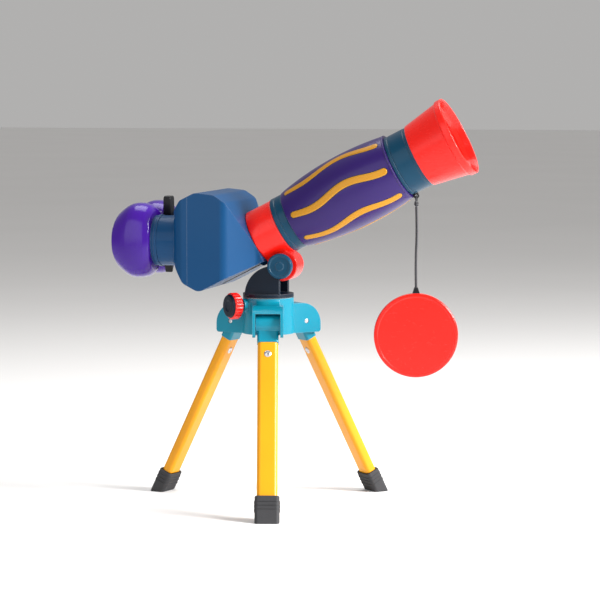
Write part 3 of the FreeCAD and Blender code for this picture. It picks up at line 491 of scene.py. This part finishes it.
cord = {
    "start": (0.156933, 0.0, 0.310649), "diameter": 0.0028, "length": 0.083,
    "route": [(0, 0, 0), (0.0009, 0, -0.027), (-0.0006, 0, -0.056), (0, 0, -0.083)],
}


def makeCord():
    curve = bpy.data.curves.new("tetherCord", "CURVE")
    curve.dimensions = "3D"
    curve.resolution_u = 24
    curve.bevel_depth = cord["diameter"] / 2
    curve.bevel_resolution = 5
    curve.use_fill_caps = True
    spline = curve.splines.new("NURBS")
    spline.points.add(len(cord["route"]) - 1)
    for point, step in zip(spline.points, cord["route"]):
        point.co = (*(Vector(cord["start"]) + Vector(step)), 1)
    spline.order_u = 3
    spline.use_endpoint_u = True
    curve.materials.append(finishes["cord_black"])
    piece = bpy.data.objects.new("tetherCord", curve)
    bpy.context.collection.objects.link(piece)
    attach(piece, "hanging_cap")
    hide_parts("tether_cord")


makeCord()
print("cord made")


# goggle eye shade: two rounded lobes that merge over the nose

shade = {
    "front": -112, "back": -154, "halfWide": 31.8, "halfHigh": 39, "fullRadius": 36, "squareness": 2.5,
    "wellRadius": 25, "wellFloor": -121, "bore": 15.15, "centreY": 30.2, "contour": 7, "contourFrom": -132,
    "noseCut": 31.0, "noseLean": (0.80, 0.60), "noseSoft": 8.0, "voxel": 0.95, "smoothing": 14,
    "saddleSize": (30, 16, 30), "saddleSet": (-18, 0, 14), "saddleRound": 6,
}


def lobeReach(angle):
    # outer outline of one lobe, from its axis, at an angle from the outward side
    side, up = math.cos(angle), math.sin(angle)
    power = shade["squareness"]
    reach = (abs(side / shade["halfWide"]) ** power + abs(up / shade["halfHigh"]) ** power) ** (-1 / power)
    if side < 0 and up < 0:
        leanSide, leanUp = shade["noseLean"]
        cut = shade["noseCut"] / max(1e-6, -leanSide * side - leanUp * up)
        soft = shade["noseSoft"]
        reach = (reach ** -soft + cut ** -soft) ** (-1 / soft)
    return reach


def makeLobe(side):
    front, back, floor = shade["front"], shade["back"], shade["wellFloor"]
    well, bore, full = shade["wellRadius"], shade["bore"], shade["fullRadius"]
    lobe = turned([
        (front, bore), (front, 30), (front - 1.5, 31.6), (front - 6, 34.4), (front - 12, 35.7),
        (front - 18, full), (front - 25, 35.4), (front - 31, 33.8), (front - 36, 31.4), (back + 2, 28.8),
        (back, 26.9), (back + 0.6, 25.6), (back + 3, well), (floor - 3, well - 1.5),
        (floor, well - 5), (floor, bore + 2), (floor + 1.5, bore),
    ], steps=72)
    for vert in lobe.verts:
        radius = math.hypot(vert.co.y, vert.co.z)
        if radius > well + 0.4:
            share = (radius - well) / (full - well)
            grown = well + share * (lobeReach(math.atan2(vert.co.z, vert.co.y)) - well)
            vert.co.y *= grown / radius
            vert.co.z *= grown / radius
        behind = max(0.0, (shade["contourFrom"] - vert.co.x) / (shade["contourFrom"] - back))
        vert.co.x += shade["contour"] * behind * (vert.co.z / shade["halfHigh"]) ** 2
    if side < 0:
        bmesh.ops.scale(lobe, vec=(1, -1, 1), verts=lobe.verts)
    bmesh.ops.translate(lobe, vec=(0, side * shade["centreY"], 0), verts=lobe.verts)
    return cleaned(lobe)


def makeEyeShade():
    offset, _, lift = shade["saddleSet"]
    middle = (shade["front"] + offset, 0, lift)
    saddle = roundedBox(*shade["saddleSize"], middle, shade["saddleRound"], 4)
    whole = joined(makeLobe(1), makeLobe(-1), saddle)
    bmesh.ops.scale(whole, vec=(mm, mm, mm), verts=whole.verts)
    bmesh.ops.transform(whole, matrix=eyeFrame, verts=whole.verts)
    mesh = bpy.data.meshes.new("gogglesRough")
    whole.to_mesh(mesh)
    whole.free()
    rough = bpy.data.objects.new("gogglesRough", mesh)
    bpy.context.collection.objects.link(rough)
    skin = rough.modifiers.new("skin", "REMESH")
    skin.mode = "VOXEL"
    skin.voxel_size = shade["voxel"] * mm
    soften = rough.modifiers.new("soften", "SMOOTH")
    soften.factor = 0.5
    soften.iterations = shade["smoothing"]
    bpy.context.view_layer.update()
    settled = rough.evaluated_get(bpy.context.evaluated_depsgraph_get())
    bm = bmesh.new()
    bm.from_mesh(settled.to_mesh())
    bpy.data.objects.remove(rough)
    finishPiece("eyeGoggles", bm, "telescope", "goggle_purple", "eye_shade", scale=1, smooth=60,
                flatFaces=False)


makeEyeShade()
print("goggles made")


# eyepieces seen down the wells

eyeRim = {"back": -123.2, "mid": -121.0, "front": -119, "inner": 12.4, "outer": 15.9, "flare": 16.6}


def atEye(side):
    return eyeFrame @ Matrix.Translation((0, side * places["halfEyes"], 0))


def makeEyeRims():
    back, mid, front = eyeRim["back"], eyeRim["mid"], eyeRim["front"]
    inner, outer, flare = eyeRim["inner"], eyeRim["outer"], eyeRim["flare"]
    for side, label in ((1, "left"), (-1, "right")):
        rim = turned([
            (back + 1.6, inner - 0.8), (back, inner, 0.3), (back, outer, 0.5), (mid, flare, 0.5),
            (mid + 0.4, 15.3), (front, 15.0), (front, 13.2),
        ], 64)
        finishPiece("eyeRim_" + label, rim, "telescope", "black_plastic", place=atEye(side))


makeEyeRims()
print("eyepiece rims made")


# housing, its rear cover and necks, edges softened and seam lines cut in

housing = {
    "frontEdge": 2.6, "backEdge": 2.2, "sharpAbove": 24, "neckBack": -111.6, "neckRadius": 26.15,
    "ribBack": -108.2, "ribFront": -105.6, "ribRadius": 27.0, "sunk": 25.4,
}


def makeHousing():
    sharp = housing["sharpAbove"]
    shell = bevelled(cadCopy("housing_shell"), housing["frontEdge"], 4)
    finishPiece("housingFront", shell, "telescope", "housing_blue", "housing_shell", smooth=sharp)
    cover = bevelled(cadCopy("rear_cover"), housing["backEdge"], 4)
    finishPiece("housingBack", cover, "telescope", "housing_blue", "rear_cover", smooth=sharp)
    neck, rib, sunk = housing["neckRadius"], housing["ribRadius"], housing["sunk"]
    back, front = housing["ribBack"], housing["ribFront"]
    for side, label in ((1, "left"), (-1, "right")):
        ridge = turned([
            (housing["neckBack"], sunk), (housing["neckBack"], neck), (back - 0.3, neck),
            (back, rib, 0.4), (front, rib, 0.4), (front + 0.3, sunk),
        ])
        finishPiece("neckRib_" + label, ridge, "telescope", "housing_blue", place=atEye(side))


makeHousing()
print("housing made")


# tube, collar, ring and hood, spun about the tube's axis

tube = {
    "collarFront": 17.3, "beadBack": 15.4, "beadFront": 16.9, "beadRadius": 29.3, "beadInner": 28.4,
    "bore": 24, "backEnd": -21.6, "radius": 26, "coreRadius": 28, "ringFront": 30.7, "ringRadius": 29.8,
    "sleeveFront": 153.7, "headRadius": 32.5, "headFront": 178.4, "spigotLong": 12, "spigotRadius": 30.2,
    "hoodFront": 224.2, "hoodBack": 33.5, "hoodRim": 42, "hoodInner": 30.3, "rimLong": 7, "wall": 2.0,
    "baffleSteps": 9, "baffleWide": 0.9, "baffleDeep": 0.45,
}


def makeRing():
    back, front, radius = tube["collarFront"], tube["ringFront"], tube["ringRadius"]
    inside = tube["radius"] + 0.1
    ring = turned([
        (back, inside), (back, radius, 0.9), *groove(back + 4.4, radius, 0.5, 0.6, 0.25),
        (front, radius, 0.9), (front, inside),
    ])
    finishPiece("rearRing", ring, "telescope", "teal_plastic", "rear_ring", place=tubeFrame)


def makeHead():
    back, front, radius = tube["sleeveFront"], tube["headFront"], tube["headRadius"]
    start, step, spigot = tube["backEnd"], tube["ringFront"], tube["spigotRadius"]
    lensSeat = 28.1
    head = turned([
        (start, tube["bore"]), (start, tube["radius"], 0.5), (step, tube["radius"]),
        (step, tube["coreRadius"]), (back, tube["coreRadius"]), (back, radius, 0.8),
        *groove(back + 3.2, radius, 0.45, 0.7, 0.2), *groove(front - 3.4, radius, 0.45, 0.8, 0.2),
        (front, radius, 0.3), (front, spigot), (front + tube["spigotLong"], spigot, 0.6),
        (front + tube["spigotLong"], lensSeat), (front - 3, lensSeat), (front - 3, tube["bore"]),
    ])
    finishPiece("mainTube", head, "telescope", "teal_plastic", "main_tube", place=tubeFrame)


def makeHood():
    back, front = tube["headFront"], tube["hoodFront"]
    rimBack = front - tube["rimLong"]
    outer, rim, inner = tube["hoodBack"], tube["hoodRim"], tube["hoodInner"]
    lining = rim - tube["wall"]
    corners = [
        (back, inner), (back, outer, 0.8), (rimBack - 1.2, rim - 1.75, 0.3), (rimBack, rim - 0.1, 0.9),
        (front - 0.9, rim, 0.5), (front, rim - 0.5, 0.5), (front, rim - 1.7, 0.5),
        (front - 1.6, lining - 0.2, 0.3), (rimBack, lining - 1.5, 0.6),
    ]
    start = (rimBack - 3, rim - 4.9)
    end = (back + 15, inner + 1.1)
    for i in range(tube["baffleSteps"]):  # light-killing steps down the inside
        share = i / (tube["baffleSteps"] - 1)
        along = start[0] + (end[0] - start[0]) * share
        radius = start[1] + (end[1] - start[1]) * share
        corners.append((along, radius, 0.12))
        corners.append((along - tube["baffleWide"], radius - tube["baffleDeep"], 0.12))
    corners.append((back + 13.4, inner))
    finishPiece("lensHood", turned(corners, 120), "telescope", "signal_red", "lens_hood", place=tubeFrame)


def makeCollar():
    collar = bevelled(cadCopy("mount_collar"), 1.3, 4, 34)
    finishPiece("mountCollar", collar, "telescope", "signal_red", "mount_collar", smooth=30)
    back, front = tube["beadBack"], tube["beadFront"]
    radius, inner = tube["beadRadius"], tube["beadInner"]
    bead = turned([(front, inner), (front, radius, 0.3), (back, radius, 0.3), (back, inner)])
    finishPiece("collarBead", bead, "telescope", "signal_red", place=tubeFrame)


makeRing()
makeHead()
makeHood()
makeCollar()
print("tube made")


# barrel sleeve and its wavy inlays

sleeve = {
    "back": 30.7, "front": 153.7, "backRadius": 30.8, "midRadius": 39.0, "frontRadius": 35.0, "middle": 0.56,
    "core": 28.1, "stations": 34, "waveCount": 7, "phase": 85, "wide": 7.4, "swing": 3.4, "inset": 9,
    # groove and the two values after it size the black band that paints the groove's shadow round each inlay
    "cycles": 1.25, "proud": 0.55, "deep": 1.4, "turnRadius": 38.0, "groove": 0.7, "shadowBandProud": 0.02,
    "shadowBandDeep": 1.0, "lipFrom": 1.9, "lipTo": 0.3,
}


def arcThrough(first, second, third):
    # centre and radius of the circle through three points of the side line
    (ax, ay), (bx, by), (cx, cy) = first, second, third
    squareA, squareB, squareC = ax * ax + ay * ay, bx * bx + by * by, cx * cx + cy * cy
    area = 2 * (ax * (by - cy) + bx * (cy - ay) + cx * (ay - by))
    centreX = (squareA * (by - cy) + squareB * (cy - ay) + squareC * (ay - by)) / area
    centreY = (squareA * (cx - bx) + squareB * (ax - cx) + squareC * (bx - ax)) / area
    return centreX, centreY, math.hypot(ax - centreX, ay - centreY)


barrelX, barrelY, barrelR = arcThrough(
    (sleeve["back"], sleeve["backRadius"]),
    ((sleeve["back"] + sleeve["front"]) * sleeve["middle"], sleeve["midRadius"]),
    (sleeve["front"], sleeve["frontRadius"]),
)


def barrelAt(along):
    return barrelY + math.sqrt(barrelR ** 2 - (along - barrelX) ** 2)


def waveEnds():
    return sleeve["back"] + sleeve["inset"], sleeve["front"] - sleeve["inset"]


def waveOffset(along):
    start, end = waveEnds()
    share = (along - start) / (end - start)
    return sleeve["swing"] * math.sin(2 * math.pi * sleeve["cycles"] * share)


def makeSleeve():
    back, front = sleeve["back"], sleeve["front"]
    corners = [(back, sleeve["core"]), (back, barrelAt(back) - 0.9), (back + 0.25, barrelAt(back) - 0.2)]
    for i in range(1, sleeve["stations"]):
        along = back + (front - back) * i / sleeve["stations"]
        corners.append((along, barrelAt(along)))
    end = barrelAt(front)
    corners += [(front - 0.25, end - 0.2), (front, end - 0.9), (front, sleeve["core"])]
    finishPiece("barrelSleeve", turned(corners, 144), "telescope", "sleeve_purple", "barrel_sleeve",
                place=tubeFrame)
    lipBack, lipFront = front - sleeve["lipFrom"], front - sleeve["lipTo"]
    lip = turned([
        (lipBack, end - 0.8), (lipBack, end + 0.55, 0.4), (lipFront, end + 0.45, 0.4), (lipFront, end - 0.8),
    ], 144)
    finishPiece("sleeveLip", lip, "telescope", "sleeve_purple", place=tubeFrame)
    # a black band a little wider than each inlay, laid flush under it, is painted shadow of a groove round
    # the inlays
    grooveShadow = waveStrips(sleeve["wide"] + 2 * sleeve["groove"], sleeve["shadowBandProud"], sleeve["shadowBandDeep"])
    finishPiece("inlayGrooveShadow", grooveShadow, "telescope", "black_plastic", place=tubeFrame, smooth=50)
    waves = waveStrips(sleeve["wide"], sleeve["proud"], sleeve["deep"])
    finishPiece("wavyInlays", waves, "telescope", "wave_ochre", "sleeve_waves", place=tubeFrame, smooth=50)


def waveStrip(wide, proud, deep):
    # a grid laid along the wave on the barrel, rounded at both ends and given its depth
    half = wide / 2
    start, end = waveEnds()
    strip = bmesh.new()
    bmesh.ops.create_grid(strip, x_segments=90, y_segments=10, size=0.5)
    for vert in strip.verts:
        along = start - half + (end - start + 2 * half) * (vert.co.x + 0.5)
        sideways = vert.co.y * 2
        past = min(1.0, max(start - along, along - end, 0) / half)
        side = waveOffset(min(max(along, start), end)) + sideways * half * math.sqrt(1 - past ** 2)
        lift = proud * math.sqrt(max(0.0, 1 - max(abs(sideways), past) ** 6)) + 0.05
        radius = barrelAt(along) + lift
        turn = side / sleeve["turnRadius"]
        vert.co = (along, -math.sin(turn) * radius, math.cos(turn) * radius)
    bmesh.ops.remove_doubles(strip, verts=strip.verts, dist=0.02)
    result = bmesh.ops.extrude_face_region(strip, geom=strip.faces[:])
    for vert in [item for item in result["geom"] if isinstance(item, bmesh.types.BMVert)]:
        radius = math.hypot(vert.co.y, vert.co.z)
        vert.co.y *= (radius - deep) / radius
        vert.co.z *= (radius - deep) / radius
    bmesh.ops.recalc_face_normals(strip, faces=strip.faces)
    return strip


def waveStrips(wide, proud, deep):
    strips = []
    for i in range(sleeve["waveCount"]):
        angle = math.radians(sleeve["phase"] + i * 360 / sleeve["waveCount"])
        strips.append(moved(waveStrip(wide, proud, deep), turnedAbout(angle, "X")))
    return joined(*strips)


makeSleeve()
print("sleeve made")


# tripod crown, turntable, yoke and discs

disc = {"inner": 21.3, "radius": 13.3, "thick": 5.0, "rimInner": 10.6, "dishDeep": 0.7, "hub": 4.2}


def makeMount():
    crown = bevelled(cadCopy("crown"), 1.3, 3)
    finishPiece("tripodCrown", crown, "tripod_crown", "tripod_teal", "crown", smooth=26)
    yoke = bevelled(cadCopy("tilt_yoke"), 1.1, 3)
    # the yoke's near-black dark_teal is painted shade
    finishPiece("tiltYoke", yoke, "pan_head", "dark_teal", "tilt_yoke", smooth=26)
    inner, radius, rimInner, hub = disc["inner"], disc["radius"], disc["rimInner"], disc["hub"]
    outer = inner + disc["thick"]
    dish = outer - disc["dishDeep"]
    for side, label in ((1, "left"), (-1, "right")):
        plate = turned([
            (inner, 0), (inner, radius), (outer - 1.4, radius, 0.9), (outer, radius - 0.9, 0.6),
            (outer, rimInner, 0.3), (dish, rimInner - 0.5, 0.3), (dish, hub + 0.4, 0.3),
            (outer - 0.1, hub, 0.2), (outer - 0.1, 0),
        ], 72)
        place = pivotFrame @ turnedAbout(side * math.pi / 2, "Z")
        finishPiece("tiltDisc_" + label, plate, "pan_head", "teal_plastic", "tilt_disc_" + label, place=place)


makeMount()
print("mount made")


# lock knob, fluted

knob = {
    "inner": 36.4, "outer": 45.4, "radius": 13.7, "boreRadius": 3.05, "stemRadius": 7, "stemLong": 3,
    "wall": 1.6, "flutes": 18, "fluteDeep": 0.75, "capOut": 48.0, "capDish": 5.2,
}


def makeKnob():
    inner, outer, radius, bore = knob["inner"], knob["outer"], knob["radius"], knob["boreRadius"]
    stem, lining = knob["stemRadius"], radius - knob["wall"]
    stemEnd = inner - knob["stemLong"]
    grip = turned([
        (stemEnd, bore), (stemEnd, stem, 0.5), (inner - 0.4, stem + 0.2), (inner, radius - 1.4, 0.8),
        (inner + 1.3, radius, 0.4), (inner + 3, radius), (outer - 3, radius), (outer - 0.8, radius, 0.5),
        (outer, radius - 1.0, 0.3), (outer, lining), (outer - 3, lining), (outer - 3, bore),
    ], knob["flutes"] * 8)
    for vert in grip.verts:
        reach = math.hypot(vert.co.y, vert.co.z)
        if reach > radius - 0.7:
            wave = math.cos(math.atan2(vert.co.z, vert.co.y) * knob["flutes"])
            cut = knob["fluteDeep"] * max(0.0, wave) ** 1.5
            vert.co.y *= (reach - cut) / reach
            vert.co.z *= (reach - cut) / reach
    finishPiece("lockKnob", grip, "lock_knob", "signal_red", "pan_knob", place=knobFrame, smooth=40)
    top, dish = knob["capOut"], knob["capDish"]
    lid = turned([
        (outer - 3, 0), (outer - 3, lining - 0.1), (outer + 0.3, lining - 0.1), (top, radius - 2.4, 0.9),
        (top, dish + 0.8, 0.4), (top - 0.7, dish, 0.4), (top - 0.7, 0),
    ], 72)
    # the cap's near-black dark_teal is painted shade
    finishPiece("knobCap", lid, "lock_knob", "dark_teal", "pan_knob_cap", place=knobFrame)


makeKnob()
print("knob made")


# small hardware: swivel loop and knot, hinge pin ends, housing screws

hardware = {
    "hole": (0.156933, 0, 0.321549), "loopRadius": 3.0, "wire": 0.85, "knotDrop": 8.2, "strand": 1.0,
    "wraps": ((1.35, 1.25, 0.25), (0.15, 1.55, -0.2), (-1.0, 1.3, 0.22)),
    "pinHalf": 15.85, "pinRadius": 2.5, "screwY": 54.5, "screwUps": (26, -24), "screwBack": -83.0,
    "screwHead": 3.0, "screwShank": 1.45, "screwLong": 24, "slot": (0.5, 3.0, 0.62),
}


def ringMesh(radius, wire, steps, sides):
    bm = bmesh.new()
    bmesh.ops.create_circle(bm, cap_ends=False, radius=wire, segments=sides)
    bmesh.ops.rotate(bm, matrix=Matrix.Rotation(math.pi / 2, 3, "X"), verts=bm.verts)
    bmesh.ops.translate(bm, vec=(radius, 0, 0), verts=bm.verts)
    bmesh.ops.spin(
        bm, geom=bm.verts[:] + bm.edges[:], cent=(0, 0, 0), axis=(0, 0, 1), angle=2 * math.pi,
        steps=steps, use_merge=True, dvec=(0, 0, 0),
    )
    return cleaned(bm)


def makeSwivel():
    radius, wire, drop = hardware["loopRadius"], hardware["wire"], hardware["knotDrop"]
    upright = turnedAbout(math.pi / 2, "Y")
    strands = [moved(ringMesh(radius, wire, 56, 14), Matrix.Translation((0, 0, -radius)) @ upright)]
    for height, reach, lean in hardware["wraps"]:
        leaning = turnedAbout(lean, "X") @ turnedAbout(lean, "Y")
        place = Matrix.Translation((0, 0, height - drop)) @ leaning
        strands.append(moved(ringMesh(reach, hardware["strand"], 40, 12), place))
    core = turned([
        (-2.1, 0), (-2.0, 0.9, 0.3), (-1, 1.5, 0.4), (1, 1.5, 0.4), (2.5, 1.1, 0.4), (2.6, 0),
    ], 32)
    strands.append(moved(core, Matrix.Translation((0, 0, -drop)) @ upright))
    place = Matrix.Translation(hardware["hole"])
    finishPiece("swivelKnot", joined(*strands), "cord_swivel", "cord_black", "cord_loop", place=place,
                smooth=60)


def makeHingePins():
    half, radius = hardware["pinHalf"], hardware["pinRadius"]
    pins = []
    for number in range(3):
        pin = turned([
            (-half, 0), (-half, radius - 0.8, 0.4), (-half + 0.7, radius, 0.4), (half - 0.7, radius, 0.4),
            (half, radius - 0.8, 0.4), (half, 1.0), (half - 0.5, 0.7), (half - 0.5, 0),
        ], 40)
        bmesh.ops.scale(pin, vec=(mm, mm, mm), verts=pin.verts)
        pins.append(moved(pin, legFrame(number) @ turnedAbout(math.pi / 2, "Z")))
    finishPiece("hingePins", joined(*pins), "tripod_crown", "zinc_steel", "hinge_pins", scale=1)


def makeScrew():
    back, shank, head = hardware["screwBack"], hardware["screwShank"], hardware["screwHead"]
    tip = back + hardware["screwLong"]
    screw = turned([
        (tip, 0), (tip, shank, 0.3), (back + 2, shank), (back + 2, head, 0.3),
        (back + 1.0, head, 0.4), (back + 0.1, 1.9, 0.4), (back + 0.1, 0),
    ], 36)
    for turn in (0, math.pi / 2):
        slot = roundedBox(*hardware["slot"], (back - 0.05, 0, 0), 0.1, 1)
        screw = joined(screw, moved(slot, turnedAbout(turn, "X")))
    return screw


def makeHousingScrews():
    screws = []
    for side in (1, -1):
        for up in hardware["screwUps"]:
            place = Matrix.Translation((0, side * hardware["screwY"], up))
            screws.append(moved(makeScrew(), place))
    finishPiece("housingScrews", joined(*screws), "telescope", "zinc_steel", "housing_screws", place=eyeFrame)


def makeBracket():
    bracket = bevelled(cadCopy("bridge_bracket"), 1.2, 4, 30)
    finishPiece("bridgeBracket", bracket, "telescope", "black_plastic", "bridge_bracket", smooth=30)


# legs, knuckles, rivets and feet

leg = {
    "azimuth": 44, "splay": 27, "hinge": 37, "pinHeight": 188.893, "wide": 21, "thick": 11.6, "start": 21,
    "end": 198, "corner": 4.2, "rivetDrop": 34, "rivetRadius": 3.6, "rivetHigh": 1.2, "footWall": 5.2,
    "bandDrops": (191.5, 195.5, 199.5), "bandHigh": 1.6,
}


def legFrame(number):
    around = turnedAbout(math.radians(leg["azimuth"] + 120 * number), "Z")
    hinge = Matrix.Translation((leg["hinge"] * mm, 0, leg["pinHeight"] * mm))
    return around @ hinge @ turnedAbout(-math.radians(leg["splay"]), "Y")


def alongLeg(edge):
    return abs(edge.verts[0].co.z - edge.verts[1].co.z) > 1e-6


def makeLegTube():
    long = leg["end"] - leg["start"]
    middle = (0, 0, -leg["start"] - long / 2)
    tubing = roundedBox(leg["thick"], leg["wide"], long, middle, leg["corner"], 6, alongLeg)
    return bevelled(tubing, 0.5, 2, 60)


def makeRivets():
    face, radius = leg["thick"] / 2, leg["rivetRadius"]
    top = face + leg["rivetHigh"]
    rivets = []
    for turn in (0, math.pi):
        dome = turned([
            (face - 0.2, 0), (face - 0.2, radius), (face + 0.35, radius, 0.2), (top - 0.1, 2.2, 0.7),
            (top, 1.2), (top - 0.4, 0.9), (top - 0.4, 0),
        ], 40)
        rivets.append(moved(dome, turnedAbout(turn, "Z")))
    return moved(joined(*rivets), Matrix.Translation((0, 0, -leg["rivetDrop"])))


def makeFootRibs():
    thick, wide = leg["thick"] + leg["footWall"], leg["wide"] + leg["footWall"]
    bands = []
    for drop in leg["bandDrops"]:
        band = roundedBox(thick, wide, leg["bandHigh"], (0, 0, -drop), 4.6, 5, alongLeg)
        bands.append(bevelled(band, 0.5, 2, 60))
    return joined(*bands)


def makeLegs():
    for number in range(3):
        label = str(number + 1)
        body = "leg_unit_" + label
        place = legFrame(number)
        finishPiece("legTube_" + label, makeLegTube(), body, "leg_yellow", "leg_" + label, place=place,
                    smooth=35)
        knuckle = bevelled(cadCopy("leg_knuckle_" + label), 0.8, 3)
        finishPiece("legKnuckle_" + label, knuckle, body, "tripod_teal", "leg_knuckle_" + label, smooth=26)
        finishPiece("legRivets_" + label, makeRivets(), body, "zinc_steel", "leg_rivet_" + label, place=place)
        foot = bevelled(cadCopy("foot_" + label), 1.2, 3, 34)
        finishPiece("footShoe_" + label, foot, body, "foot_rubber", "foot_" + label, smooth=30)
        finishPiece("footRibs_" + label, makeFootRibs(), body, "foot_rubber", place=place, smooth=35)


makeLegs()
makeSwivel()
makeHingePins()
makeHousingScrews()
makeBracket()
print("legs and hardware made")


# lens cap with its rim and inner ribs

cap = {"radius": 43.3, "half": 4.5, "wall": 1.1, "ribRadii": (12, 26, 36), "ribWide": 1.2, "ribHigh": 1.0}


def makeCap():
    half, radius, wall = cap["half"], cap["radius"], cap["wall"]
    inside = half - 1.9
    shell = turned([
        (-half, radius - wall, 0.3), (-half, radius, 0.35), (half - 1.2, radius, 0.6),
        (half, radius - 1.4, 0.8), (half, radius - 3.4, 0.3), (half - 0.35, radius - 3.9, 0.2),
        (half - 0.35, 0), (inside, 0), (inside, radius - wall - 0.6, 0.5), (half - 3.0, radius - wall, 0.3),
    ], 160)
    ribTop = inside - cap["ribHigh"]
    ribs = []
    for rib in cap["ribRadii"]:
        edge = rib + cap["ribWide"]
        ribs.append(turned([(inside, rib), (ribTop, rib, 0.3), (ribTop, edge, 0.3), (inside, edge)], 96))
    finishPiece("lensCap", joined(shell, *ribs), "hanging_cap", "signal_red", "lens_cap", place=capFrame)


makeCap()
print("cap made")
